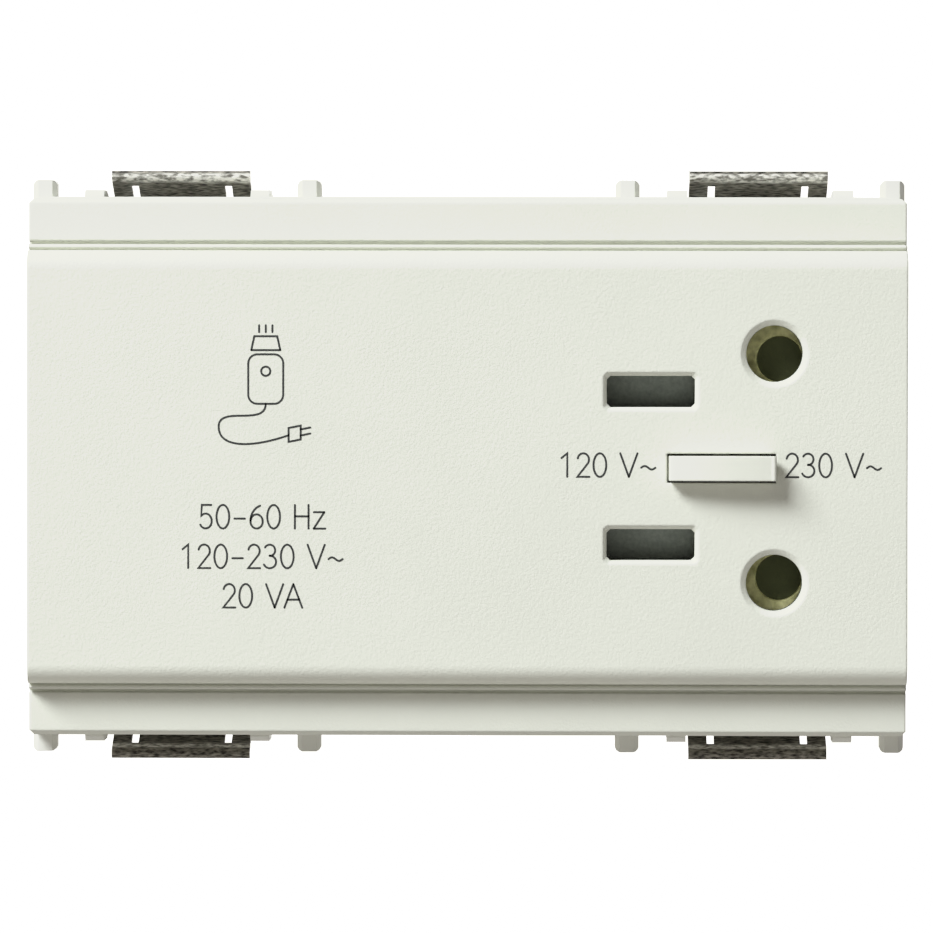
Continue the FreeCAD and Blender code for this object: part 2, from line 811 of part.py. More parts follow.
def selector_plunger():
    """Pin with a tapered nose in the rocker's foot that presses on the contact bridge."""
    y_tip = y_pivot + plunger_reach
    y_nose = y_tip - plunger_nose
    pin = rod(selector_x, y_tip - plunger_nose - plunger_shank, y_nose, 0.0, plunger_radius)
    nose = cone(selector_x, y_nose, y_tip, 0.0, plunger_radius, plunger_tip_radius)
    return turned(join(pin, [nose]), selector_x, y_pivot, -rocker_tilt)


def selector_spring():
    """Coil spring between the bore's end and the plunger, its wire drawn as a prism."""
    y0 = y_pivot + rocker_body_depth - plunger_bore_depth + close_gap / 2
    y1 = y_pivot + plunger_reach - plunger_nose - plunger_shank - close_gap / 2
    radius = plunger_radius - spring_wire / 2 - close_gap / 2
    height = y1 - y0 - spring_wire
    pitch = height / spring_turns
    helix = Part.makeHelix(pitch, height, radius)
    corners = []
    for index in range(wire_sides + 1):
        angle = 2 * math.pi * index / wire_sides
        reach = radius + spring_wire / 2 * math.cos(angle)
        corners.append(Vector(reach, 0, spring_wire / 2 * math.sin(angle)))
    section = Part.makePolygon(corners)
    coil = Part.Wire(helix.Edges).makePipeShell([section], True, True)
    coil.rotate(Vector(0, 0, 0), Vector(1, 0, 0), -90)
    coil.translate(Vector(selector_x, y0 + spring_wire / 2, 0.0))
    return turned(coil, selector_x, y_pivot, -rocker_tilt)


def selector_bridge():
    """Rocking contact arm with a round notch over the knife edge and a button under each end."""
    y_top = bridge_axis_y - bridge_rise
    y_low = y_top + bridge_thickness
    half = bridge_length / 2
    corners = [(selector_x - half, y_top, small_bevel), (selector_x + half, y_top, small_bevel)]
    corners += [(selector_x + half, y_low, 0), (selector_x - half, y_low, 0)]
    arm = prism_z(corners, -bridge_width / 2, bridge_width / 2)
    buttons = []
    for offset in spread(2 * button_offset, 2):
        buttons.append(rod(selector_x + offset, y_low - close_gap, y_low + button_height, 0.0, button_radius))
    body = join(arm, buttons)
    notch = upright(selector_x, bridge_axis_y, -bridge_width, bridge_width, knife_radius + knife_gap)
    narrow = knife_radius + knife_gap
    wide = notch_mouth / 2
    mouth = [(selector_x - narrow, bridge_axis_y, 0), (selector_x + narrow, bridge_axis_y, 0)]
    mouth += [(selector_x + wide, y_low + past, 0), (selector_x - wide, y_low + past, 0)]
    body = body.cut([notch, prism_z(mouth, -bridge_width, bridge_width)])
    return turned(body, selector_x, bridge_axis_y, bridge_tilt)


def selector_common():
    """Terminal whose rounded edge the bridge rocks on."""
    half = tail_thickness / 2
    y_full = bridge_axis_y + knife_taper
    corners = [(selector_x - knife_radius, bridge_axis_y, 0), (selector_x + knife_radius, bridge_axis_y, 0)]
    corners += [(selector_x + half, y_full, 0), (selector_x + half, y_tail_end, small_bevel)]
    corners += [(selector_x - half, y_tail_end, small_bevel), (selector_x - half, y_full, 0)]
    half_w = tail_width / 2
    blade = prism_z(corners, -half_w, half_w)
    edge = upright(selector_x, bridge_axis_y, -half_w, half_w, knife_radius)
    foot = plate(2 * contact_pad_half, tail_width, 0, y_well - tail_thickness, y_well, selector_x)
    return join(blade, [edge, foot])


def fixed_contact(offset):
    """Terminal with a contact button that one end of the bridge rests on."""
    x = selector_x + offset
    tilt = math.radians(bridge_tilt)
    low = bridge_thickness - bridge_rise + button_height
    reach = button_offset + button_radius
    y_touch = bridge_axis_y + low * math.cos(tilt) + reach * math.sin(tilt)
    y_top = y_touch + contact_gap
    button = rod(x, y_top, y_top + button_height, 0.0, button_radius)
    pad = plate(2 * contact_pad_half, tail_width, 0, y_top + button_pad, y_well, x)
    tail = plate(tail_thickness, tail_width, 0, y_well - close_gap, y_tail_end, x)
    return join(button, [pad, tail])


def core_holes(y):
    """Assembly holes through the core's corners."""
    reach = core_stack / 2 + past
    places = [core_middle + offset for offset in spread(core_width - core_leg, 2)]
    return [upright(x, y, -reach, reach, core_hole / 2) for x in places]


def core_e_stack():
    """Stack of E laminations: yoke at the front, three legs to the rear."""
    y1 = core_front + core_depth - core_leg
    body = plate(core_width, core_stack, 0, core_front, y1, core_middle)
    gaps = []
    for offset in spread(centre_leg + core_window, 2):
        x = core_middle + offset
        gaps.append(plate(core_window, core_stack + past, 0, core_front + core_leg, y1 + past, x))
    return body.cut(gaps + core_holes(core_front + core_leg / 2))


def core_i_stack():
    """Stack of I laminations that closes the rear of the core."""
    y1 = core_front + core_depth
    body = plate(core_width, core_stack, 0, y1 - core_leg, y1, core_middle)
    return body.cut(core_holes(y1 - core_leg / 2))


def bobbin_wall_start():
    """Depth at which the wall between the two windings starts."""
    return (bobbin_front + bobbin_rear - bobbin_flange) / 2


def winding_bobbin():
    """Moulded former: tube on the centre leg, end flanges and a wall between the windings."""
    inside_x = centre_leg + 2 * close_gap
    inside_z = core_stack + 2 * close_gap
    tube_x = inside_x + 2 * bobbin_wall
    tube_z = inside_z + 2 * bobbin_wall
    body = plate(tube_x, tube_z, large_bevel, bobbin_front, bobbin_rear, core_middle)
    flange_width = centre_leg + 2 * (core_window - 2 * close_gap)
    flanges = []
    for y in (bobbin_front, bobbin_wall_start(), bobbin_rear - bobbin_flange):
        flanges.append(plate(flange_width, 2 * bobbin_reach, large_bevel, y, y + bobbin_flange, core_middle))
    body = join(body, flanges)
    body = body.cut(plate(inside_x, inside_z, 0, bobbin_front - past, bobbin_rear + past, core_middle))
    return body.cut(bobbin_pin_solids())


def bobbin_pin_solids():
    """Square pins set in the upper edge of the end flanges."""
    half = pin_size / 2
    z0 = bobbin_reach - pin_length
    z1 = inner_z - slip_gap
    pins = []
    for y in (bobbin_front + bobbin_flange / 2, bobbin_rear - bobbin_flange / 2):
        for offset in spread(pin_pitch, pin_count):
            x = core_middle + offset
            pins.append(box(x - half, x + half, y - half, y + half, z0, z1))
    return pins


def winding(y0, y1):
    """One winding: a rounded coil that fills its bay between two flanges."""
    width = centre_leg + 2 * (close_gap + bobbin_wall)
    height = core_stack + 2 * (close_gap + bobbin_wall)
    outer = plate(width + 2 * winding_height, height + 2 * winding_height, winding_round, y0, y1, core_middle)
    return outer.cut(plate(width, height, large_bevel, y0 - past, y1 + past, core_middle))


def terminal_block(x):
    """Brass pillar with the wire bore along Y and a tapped hole from below."""
    y0 = y_floor - terminal_depth
    z_middle = terminal_base + terminal_height / 2
    body = plate(terminal_width, terminal_height, large_bevel, y0, y_floor, x, z_middle)
    body = body.cut(rod(x, y0 - past, y_floor + past, wire_axis_z, wire_bore / 2))
    radius = (terminal_screw + 2 * close_gap) / 2
    return body.cut(upright(x, y_floor - terminal_depth / 2, terminal_base - past, wire_axis_z, radius))


def terminal_screw_solid(x):
    """Slotted screw backed out so that the wire bore stands open."""
    y = y_floor - terminal_depth / 2
    z_seat = terminal_base - close_gap
    z_head = z_seat - screw_head_height
    head = upright(x, y, z_head, z_seat, screw_head / 2)
    shank = upright(x, y, z_seat, wire_axis_z - wire_bore / 2 - 2 * close_gap, terminal_screw / 2)
    half = screw_slot / 2
    slot = box(x - screw_head, x + screw_head, y - half, y + half, z_head - past, z_head + screw_slot_depth)
    return join(head, [shank]).cut(slot)


def overload_cutout():
    """Resettable thermal cut-out: moulded body with two flat tabs, seated on the floor."""
    y0 = y_floor - cutout_depth
    z = inner_z - cutout_drop - cutout_height / 2
    body = plate(cutout_width, cutout_height, large_bevel, y0, y_floor, carrier_middle, z)
    tabs = []
    for offset in spread(tab_pitch, 2):
        x = carrier_middle + offset
        tabs.append(plate(tab_width, tab_thickness, 0, y0 - tab_length, y0 + overlap, x, z))
    return join(body, tabs)


def clip_nodes():
    """The four clips by name."""
    nodes = {}
    for x, where in ((-clip_x, "left"), (clip_x, "right")):
        clip = spring_clip(x)
        nodes["spring_clip_upper_" + where] = clip
        nodes["spring_clip_lower_" + where] = upside(clip)
    return nodes


def contact_nodes():
    """Plug contacts, pole strips and selector terminals by name."""
    nodes = {}
    for side, where in ((1, "upper"), (-1, "lower")):
        nodes["round_contact_" + where] = round_contact(side * sleeve_pitch / 2)
        nodes["flat_contact_" + where] = flat_contact(side * flat_pitch / 2)
    nodes["pole_strip_upper"] = pole_strip()
    nodes["pole_strip_lower"] = upside(pole_strip())
    nodes["selector_common"] = selector_common()
    nodes["selector_contact_left"] = fixed_contact(-button_offset)
    nodes["selector_contact_right"] = fixed_contact(button_offset)
    return nodes


def transformer_nodes():
    """Core, bobbin, pins and windings by name."""
    nodes = {"core_e_stack": core_e_stack(), "core_i_stack": core_i_stack()}
    nodes["winding_bobbin"] = winding_bobbin()
    nodes["bobbin_pins"] = Part.makeCompound(bobbin_pin_solids())
    wall = bobbin_wall_start()
    nodes["primary_winding"] = winding(bobbin_front + bobbin_flange, wall)
    nodes["secondary_winding"] = winding(wall + bobbin_flange, bobbin_rear - bobbin_flange)
    return nodes


def all_nodes():
    """Every piece by the name of its file."""
    nodes = {"front_cover": front_cover(), "rear_housing": rear_housing()}
    nodes.update(clip_nodes())
    nodes["contact_carrier"] = contact_carrier()
    nodes["carrier_back"] = carrier_back()
    nodes.update(contact_nodes())
    nodes["selector_rocker"] = selector_rocker()
    nodes["selector_plunger"] = selector_plunger()
    nodes["selector_spring"] = selector_spring()
    nodes["selector_bridge"] = selector_bridge()
    nodes.update(transformer_nodes())
    for x, pole in zip(terminal_places(), ("line", "neutral")):
        nodes["terminal_block_" + pole] = terminal_block(x)
    nodes["terminal_screws"] = Part.makeCompound([terminal_screw_solid(x) for x in terminal_places()])
    nodes["overload_cutout"] = overload_cutout()
    return nodes


os.makedirs("parts", exist_ok=True)
for name, shape in all_nodes().items():
    shape.exportStep("parts/" + name + ".step")
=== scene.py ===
import math

import bpy
import numpy as np
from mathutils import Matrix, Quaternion, Vector


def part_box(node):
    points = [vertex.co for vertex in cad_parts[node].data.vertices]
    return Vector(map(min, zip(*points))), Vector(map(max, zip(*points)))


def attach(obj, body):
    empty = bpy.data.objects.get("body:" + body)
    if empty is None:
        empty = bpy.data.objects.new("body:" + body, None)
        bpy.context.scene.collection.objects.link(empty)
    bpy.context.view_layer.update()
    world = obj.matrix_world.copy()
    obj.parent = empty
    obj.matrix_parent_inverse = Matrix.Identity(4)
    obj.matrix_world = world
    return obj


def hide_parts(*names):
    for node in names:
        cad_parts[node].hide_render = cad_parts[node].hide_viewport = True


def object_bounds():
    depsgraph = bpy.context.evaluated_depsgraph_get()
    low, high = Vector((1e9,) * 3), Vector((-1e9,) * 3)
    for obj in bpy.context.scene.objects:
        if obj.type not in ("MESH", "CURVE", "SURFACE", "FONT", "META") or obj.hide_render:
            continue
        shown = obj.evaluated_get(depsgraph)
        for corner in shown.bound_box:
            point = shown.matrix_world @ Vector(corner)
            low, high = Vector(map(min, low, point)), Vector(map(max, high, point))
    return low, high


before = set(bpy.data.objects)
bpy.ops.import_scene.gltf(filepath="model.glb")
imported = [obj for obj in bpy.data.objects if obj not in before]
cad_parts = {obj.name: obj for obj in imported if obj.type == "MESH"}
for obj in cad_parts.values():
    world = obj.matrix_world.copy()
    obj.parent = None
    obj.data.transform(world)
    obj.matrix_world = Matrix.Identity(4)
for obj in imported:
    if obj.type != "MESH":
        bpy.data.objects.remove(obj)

cad_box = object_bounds()

# The camera looks straight at the face from a little over half a metre, as for a catalogue
# picture, and stands a finger's width above and to the right of the middle. A pixel of the
# picture is a twelfth of a millimetre on the face.
PICTURE_PIXELS = 933
PIXELS_PER_MM = 12.07
CENTRE_PIXEL = (466.9, 467.9)
CAMERA_DISTANCE = 0.55
CAMERA_RIGHT = 0.0096
CAMERA_UP = 0.0111
CAMERA_ROLL = math.radians(0.08)
SENSOR = 36.0

face_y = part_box("front_cover")[0][1]
picture_width = PICTURE_PIXELS / PIXELS_PER_MM / 1000
off_x = PICTURE_PIXELS / 2 - CENTRE_PIXEL[0]
off_z = CENTRE_PIXEL[1] - PICTURE_PIXELS / 2
aim = Vector((off_x / PIXELS_PER_MM / 1000, face_y, off_z / PIXELS_PER_MM / 1000))
stand = Vector((CAMERA_RIGHT, face_y - CAMERA_DISTANCE, CAMERA_UP))
camera_data = bpy.data.cameras.new("camera")
camera_data.sensor_width = SENSOR
camera_data.lens = SENSOR * (aim - stand).length / picture_width
camera = bpy.data.objects.new("camera", camera_data)
camera.location = stand
level = (aim - stand).to_track_quat("-Z", "Y")
camera.rotation_euler = (level @ Quaternion((0, 0, 1), CAMERA_ROLL)).to_euler()
bpy.context.scene.collection.objects.link(camera)
bpy.context.scene.camera = camera

# The film answers evenly up to the white of the face and rolls off above it, blue first, so that
# the lit roundings keep their warm shade.
FILM_WHITE = 2.0
FILM_STOPS = ((0.0, 0.0), (0.8, 0.8), (1.05, 0.86), (1.35, 0.9), (1.45, 0.915), (1.6, 1.0), (2.0, 1.0))
FILM_BLUE = ((0.0, 0.0), (0.76, 0.38), (1.25, 0.44), (1.44, 0.6), (1.6, 0.85), (2.0, 1.0))
film = bpy.context.scene.view_settings
film.view_transform = "Standard"
film.use_curve_mapping = True
film_curve = film.curve_mapping
film_curve.white_level = (FILM_WHITE, FILM_WHITE, FILM_WHITE)
for curve, stops in ((film_curve.curves[3], FILM_STOPS), (film_curve.curves[2], FILM_BLUE)):
    for light, answer in stops[2:]:
        curve.points.new(light / FILM_WHITE, answer)
    for point, (light, answer) in zip(curve.points, stops):
        point.location = (light / FILM_WHITE, answer)
        point.handle_type = "VECTOR"
film_curve.update()


# The studio is one white sheet that runs from the floor up into the wall behind, a large soft
# lamp high on the left and an even white surround.
FLOOR_DROP = 0.25
SHEET_WIDTH = 6.0
SHEET_FRONT = -1.6
SHEET_BACK = 1.1
SHEET_BEND = 0.5
SHEET_TOP = 1.2
SHEET_PAINT = (0.42, 0.40, 0.38)
SHEET_GLOW = 1.8
SHEET_GLOW_RISE = 0.12
SURROUND = 0.152
SURROUND_COLOUR = (1.0, 0.93, 0.87)
KEY_TOWARDS = (-0.529, -0.521, 0.67)
KEY_DISTANCE = 1.3
KEY_WIDTH = 0.75
KEY_HEIGHT = 0.42
KEY_POWER = 24.3
KEY_COLOUR = (0.97, 1.0, 1.02)


def mesh_object(name, points, faces):
    """A mesh object whose vertices are given in the row's frame, in metres."""
    mesh = bpy.data.meshes.new(name)
    mesh.from_pydata(points.tolist(), [], [list(face) for face in faces])
    mesh.validate()
    piece = bpy.data.objects.new(name, mesh)
    bpy.context.scene.collection.objects.link(piece)
    return piece


def strip_faces(rows, columns, closed=False):
    """Quads between neighbouring rows of a grid; closed joins the last column to the first."""
    across = columns if closed else columns - 1
    row, column = np.meshgrid(np.arange(rows - 1), np.arange(across), indexing="ij")
    here = row * columns
    ahead = (column + 1) % columns
    corners = (here + column, here + ahead, here + columns + ahead, here + columns + column)
    return np.stack(corners, axis=-1).reshape(-1, 4)


def studio_sheet(floor_z):
    """Profile carried along X: floor, a quarter circle of radius SHEET_BEND, then a wall."""
    angle = np.linspace(0, math.pi / 2, 16)
    bend_y = SHEET_BACK - SHEET_BEND + SHEET_BEND * np.sin(angle)
    bend_z = floor_z + SHEET_BEND - SHEET_BEND * np.cos(angle)
    y = np.concatenate(([SHEET_FRONT], bend_y, [SHEET_BACK]))
    z = np.concatenate(([floor_z], bend_z, [SHEET_TOP]))
    x = np.linspace(-SHEET_WIDTH / 2, SHEET_WIDTH / 2, 2)
    points = np.stack((np.repeat(x, len(y)), np.tile(y, 2), np.tile(z, 2)), axis=-1)
    return mesh_object("studio_sheet", points, strip_faces(2, len(y)))


floor_z = cad_box[0][2] - FLOOR_DROP
sheet = studio_sheet(floor_z)
sheet_paint = bpy.data.materials.new("studio_white")
sheet_paint.use_nodes = True
sheet_shader = sheet_paint.node_tree.nodes["Principled BSDF"]
sheet_shader.inputs["Base Color"].default_value = (*SHEET_PAINT, 1)
sheet_shader.inputs["Roughness"].default_value = 0.9
sheet_shader.inputs["Emission Color"].default_value = (1, 1, 1, 1)
sheet_place = sheet_paint.node_tree.nodes.new("ShaderNodeTexCoord")
sheet_parts = sheet_paint.node_tree.nodes.new("ShaderNodeSeparateXYZ")
sheet_glow = sheet_paint.node_tree.nodes.new("ShaderNodeMapRange")
sheet_glow.interpolation_type = "SMOOTHSTEP"
sheet_glow.inputs["From Min"].default_value = floor_z
sheet_glow.inputs["From Max"].default_value = floor_z + SHEET_GLOW_RISE
sheet_glow.inputs["To Max"].default_value = SHEET_GLOW
sheet_paint.node_tree.links.new(sheet_place.outputs["Object"], sheet_parts.inputs["Vector"])
sheet_paint.node_tree.links.new(sheet_parts.outputs["Z"], sheet_glow.inputs["Value"])
sheet_paint.node_tree.links.new(sheet_glow.outputs["Result"], sheet_shader.inputs["Emission Strength"])
sheet.data.materials.append(sheet_paint)

world = bpy.data.worlds.new("surround")
world.use_nodes = True
world.node_tree.nodes["Background"].inputs["Color"].default_value = (*SURROUND_COLOUR, 1)
world.node_tree.nodes["Background"].inputs["Strength"].default_value = SURROUND
bpy.context.scene.world = world

key_data = bpy.data.lights.new("key_lamp", "AREA")
key_data.shape = "RECTANGLE"
key_data.size = KEY_WIDTH
key_data.size_y = KEY_HEIGHT
key_data.energy = KEY_POWER
key_data.color = KEY_COLOUR
key_lamp = bpy.data.objects.new("key_lamp", key_data)
towards = Vector(KEY_TOWARDS).normalized()
key_lamp.location = towards * KEY_DISTANCE
key_lamp.rotation_euler = towards.to_track_quat("Z", "Y").to_euler()
bpy.context.scene.collection.objects.link(key_lamp)


# The cover is one moulding in warm off-white plastic, spark-eroded to a fine satin grain, and
# clips over the housing. Its edges are barely broken, which the shader's rounding stands for.
COVER_COLOUR = (0.79, 0.803, 0.715)
COVER_ROUGHNESS = 0.46
GRAIN_SIZE = 0.00022
GRAIN_DEPTH = 0.000029
COVER_SHINE = 0.3
COVER_EDGE = 0.0003


class Nodes:
    """Shader nodes of one material, added and linked by short calls."""

    def __init__(self, name):
        self.material = bpy.data.materials.new(name)
        self.material.use_nodes = True
        self.tree = self.material.node_tree
        self.shader = self.tree.nodes["Principled BSDF"]

    def add(self, kind, **values):
        """One node; values set its properties, or its inputs where it has no such property."""
        node = self.tree.nodes.new(kind)
        for key, value in values.items():
            if hasattr(node, key):
                setattr(node, key, value)
            else:
                node.inputs[key.replace("_", " ")].default_value = value
        return node

    def link(self, source, target):
        self.tree.links.new(source, target)

    def place(self):
        """Object coordinates, which stay with the piece."""
        return self.add("ShaderNodeTexCoord").outputs["Object"]

    def noise(self, size, detail=2.0, stretch=None):
        """Noise whose features are about size metres; stretch scales it along X, Y and Z."""
        source = self.place()
        if stretch:
            mapping = self.add("ShaderNodeMapping")
            mapping.inputs["Scale"].default_value = stretch
            self.link(source, mapping.inputs["Vector"])
            source = mapping.outputs["Vector"]
        noise = self.add("ShaderNodeTexNoise", Scale=1 / size, Detail=detail)
        self.link(source, noise.inputs["Vector"])
        return noise.outputs["Fac"]

    def span(self, source, low, high, start=0.3, end=0.7):
        """Source mapped from start..end to low..high."""
        node = self.add("ShaderNodeMapRange")
        for key, value in (("From Min", start), ("From Max", end), ("To Min", low), ("To Max", high)):
            node.inputs[key].default_value = value
        self.link(source, node.inputs["Value"])
        return node.outputs["Result"]

    def tint(self, source, stops):
        """Colour ramp from (place, colour) stops."""
        node = self.add("ShaderNodeValToRGB")
        ramp = node.color_ramp.elements
        while len(ramp) < len(stops):
            ramp.new(0.5)
        for element, (place, colour) in zip(ramp, stops):
            element.position = place
            element.color = (*colour, 1)
        self.link(source, node.inputs["Fac"])
        self.link(node.outputs["Color"], self.shader.inputs["Base Color"])

    def relief(self, heights, edge=0.0):
        """Bumps of (source, depth in metres) over an edge rounding of a radius in metres."""
        normal = None
        if edge:
            rounding = self.add("ShaderNodeBevel", samples=6)
            rounding.inputs["Radius"].default_value = edge
            normal = rounding.outputs["Normal"]
        for source, depth in heights:
            bump = self.add("ShaderNodeBump")
            bump.inputs["Distance"].default_value = depth
            self.link(source, bump.inputs["Height"])
            if normal:
                self.link(normal, bump.inputs["Normal"])
            normal = bump.outputs["Normal"]
        self.link(normal, self.shader.inputs["Normal"])

    def set(self, **values):
        for key, value in values.items():
            self.shader.inputs[key.replace("_", " ")].default_value = value


def shade(colour, factor):
    """A colour made lighter or darker."""
    return tuple(min(1.0, channel * factor) for channel in colour)


def moulded_plastic(name, colour, roughness, grain_size, grain_depth, edge, shine=0.4):
    """Plastic with a spark-eroded grain, faint clouding and a softly varying sheen."""
    paint = Nodes(name)
    cloud = paint.noise(0.011, 3.0)
    paint.tint(cloud, ((0.3, shade(colour, 0.985)), (0.7, shade(colour, 1.012))))
    sheen = paint.span(paint.noise(0.004), roughness - 0.03, roughness + 0.04)
    paint.link(sheen, paint.shader.inputs["Roughness"])
    paint.relief([(paint.noise(grain_size, 3.0), grain_depth)], edge)
    paint.set(IOR=1.49, Specular_IOR_Level=shine)
    return paint.material


def dress(node, material):
    """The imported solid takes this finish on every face."""
    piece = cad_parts[node]
    piece.data.materials.clear()
    piece.data.materials.append(material)


cover_plastic = moulded_plastic("cover_plastic", COVER_COLOUR, COVER_ROUGHNESS, GRAIN_SIZE, GRAIN_DEPTH,
                                COVER_EDGE, COVER_SHINE)
dress("front_cover", cover_plastic)


# The selector's rocker is moulded in the same plastic but polished by the finger, so its grain is
# finer. Its arched grip fills the window and overhangs it on the right; two trunnions and a
# tapered foot carry it. Here it lies tilted with its left end pressed in.
ROCKER_EDGE = 0.00018
ROCKER_ROUGHNESS = 0.40
ROCKER_X = 0.02109
ROCKER_TILT = math.radians(4)
ROCKER_PIVOT_DEPTH = 2.0
WINDOW_HALF_LENGTH = 4.3
GRIP_RIGHT = 4.76
GRIP_LEFT = 4.1
GRIP_HEAD_FROM = 2.32
GRIP_HALF_WIDTH = 1.025
GRIP_CREST = 3.9
GRIP_END_RISE = 3.7
GRIP_CORNER = 0.2
TRUNNION_RADIUS = 0.8
TRUNNION_HALF = 3.0
FOOT_OUTLINE = ((-3.2, -0.6), (3.2, -0.6), (1.6, -3.2), (-1.6, -3.2))
FOOT_HALF_WIDTH = 2.0


def carried(outline, half):
    """Closed prism: an outline (x, y) in metres carried along Z by half each way, each end closed
    by a fan about the outline's middle."""
    count = len(outline)
    rings = [np.column_stack((outline, np.full(count, z))) for z in (-half, half)]
    middles = [np.append(outline.mean(axis=0), z)[None] for z in (-half, half)]
    points = np.concatenate(rings + middles)
    index = np.arange(count)
    ahead = (index + 1) % count
    walls = np.stack((index, ahead, ahead + count, index + count), axis=-1).tolist()
    low = [[2 * count, int(b), int(a)] for a, b in zip(index, ahead)]
    high = [[2 * count + 1, int(a + count), int(b + count)] for a, b in zip(index, ahead)]
    return points, walls + low + high


def grip_outline():
    """Outline in (u, v), from the root round the right end: swept about the pivot where it dips
    into the window, then a head that overhangs on the right. The top is an arch that falls as the
    square of u from the crest, with rounded corners."""
    radius = math.hypot(WINDOW_HALF_LENGTH, ROCKER_PIVOT_DEPTH)
    sweep = np.linspace(math.radians(12), math.asin(GRIP_HEAD_FROM / radius), 8)
    swept = radius * np.stack((np.cos(sweep), np.sin(sweep)), axis=-1)
    turn = np.linspace(0, math.pi / 2, 6)
    round_corner = GRIP_CORNER * np.stack((np.cos(turn), np.sin(turn)), axis=-1)
    v_corner = GRIP_END_RISE - GRIP_CORNER
    right = round_corner + (GRIP_RIGHT - GRIP_CORNER, v_corner)
    left = round_corner[::-1] * (-1, 1) + (GRIP_CORNER - GRIP_LEFT, v_corner)
    u = np.linspace(0.95 * right[-1, 0], 0.95 * left[0, 0], 23)
    arch = np.stack((u, GRIP_CREST - (GRIP_CREST - GRIP_END_RISE) * (u / GRIP_LEFT) ** 2), axis=-1)
    root = ((0.5, -0.6), (1.4, 0.3))
    head = ((GRIP_RIGHT - 0.08, GRIP_HEAD_FROM + 0.1),)
    root_left = ((-1.4, 0.3), (-0.5, -0.6))
    swept_left = swept[::-1] * (-1, 1)
    return np.concatenate((root, swept, head, right, arch, left, swept_left, root_left))


def placed_on_pivot(outline):
    """Outline in (u, v) millimetres turned by the tilt about the pivot, as (x, y) in metres."""
    u, v = np.array(outline, dtype=float).T / 1000
    x = u * math.cos(ROCKER_TILT) - v * math.sin(ROCKER_TILT)
    y = -u * math.sin(ROCKER_TILT) - v * math.cos(ROCKER_TILT)
    return np.stack((ROCKER_X + x, face_y + ROCKER_PIVOT_DEPTH / 1000 + y), axis=-1)


def finger_rocker():
    """Grip, trunnions and foot, each a closed prism, in one piece."""
    turn = np.linspace(0, 2 * math.pi, 24, endpoint=False)
    trunnion = TRUNNION_RADIUS * np.stack((np.cos(turn), np.sin(turn)), axis=-1)
    points = []
    faces = []
    count = 0
    prisms = ((grip_outline(), GRIP_HALF_WIDTH), (trunnion, TRUNNION_HALF), (FOOT_OUTLINE, FOOT_HALF_WIDTH))
    for outline, half in prisms:
        new_points, new_faces = carried(placed_on_pivot(outline), half / 1000)
        points.append(new_points)
        faces += [[corner + count for corner in face] for face in new_faces]
        count += len(new_points)
    piece = mesh_object("finger_rocker", np.concatenate(points), faces)
    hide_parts("selector_rocker")
    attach(piece, "rocker")
    return piece


rocker_plastic = moulded_plastic("rocker_plastic", COVER_COLOUR, ROCKER_ROUGHNESS, GRAIN_SIZE,
                                 GRAIN_DEPTH / 2, ROCKER_EDGE, COVER_SHINE)
finger_rocker().data.materials.append(rocker_plastic)


# The housing is a deep moulded box in the same off-white, with a coarser, flatter grain, because
# the wall hides it. Its rim seats on the support frame.
HOUSING_COLOUR = (0.80, 0.805, 0.745)
housing_plastic = moulded_plastic("housing_plastic", HOUSING_COLOUR, roughness=0.55, grain_size=0.00028,
                                  grain_depth=0.000007, edge=0.00015)
dress("rear_housing", housing_plastic)


# The marks are printed on the face in one pass of dark grey ink, as thin even strokes with
# round ends: a shaver sign, the rating and the two positions of the selector.
INK_COLOUR = (0.035, 0.037, 0.035)
STROKE = 0.000165
INK_THICKNESS = 0.000012
LETTER_HEIGHT = 0.00195
LETTER_GAP = 0.11
LINE_PIXELS = (528.9, 568.6, 608.1)
RATING_CENTRE_PIXEL = 264.0
RATING_LINES = ("50-60 Hz", "120-230 V~", "20 VA")
SELECTOR_BASE_PIXEL = 476.6
LEFT_MARK_PIXEL = 561.1
RIGHT_MARK_PIXEL = 785.6


def face_point(pixel_x, pixel_y):
    """Place on the face, in metres, of a pixel of the picture."""
    x = (pixel_x - CENTRE_PIXEL[0]) / PIXELS_PER_MM / 1000
    z = (CENTRE_PIXEL[1] - pixel_y) / PIXELS_PER_MM / 1000
    return np.array((x, z))


def arc(centre_x, centre_z, radius_x, radius_z, start, end, steps=28):
    """Points on an ellipse from angle start to end, in degrees."""
    angle = np.radians(np.linspace(start, end, steps))
    return np.stack((centre_x + radius_x * np.cos(angle), centre_z + radius_z * np.sin(angle)), axis=-1)


def run(*points):
    """A straight run through points."""
    return np.array(points, dtype=float)


def path(*pieces):
    """Pieces joined end to end, with points closer than a hair dropped."""
    points = np.concatenate(pieces)
    step = np.linalg.norm(np.diff(points, axis=0), axis=1)
    return points[np.concatenate(([True], step > 1e-4))]


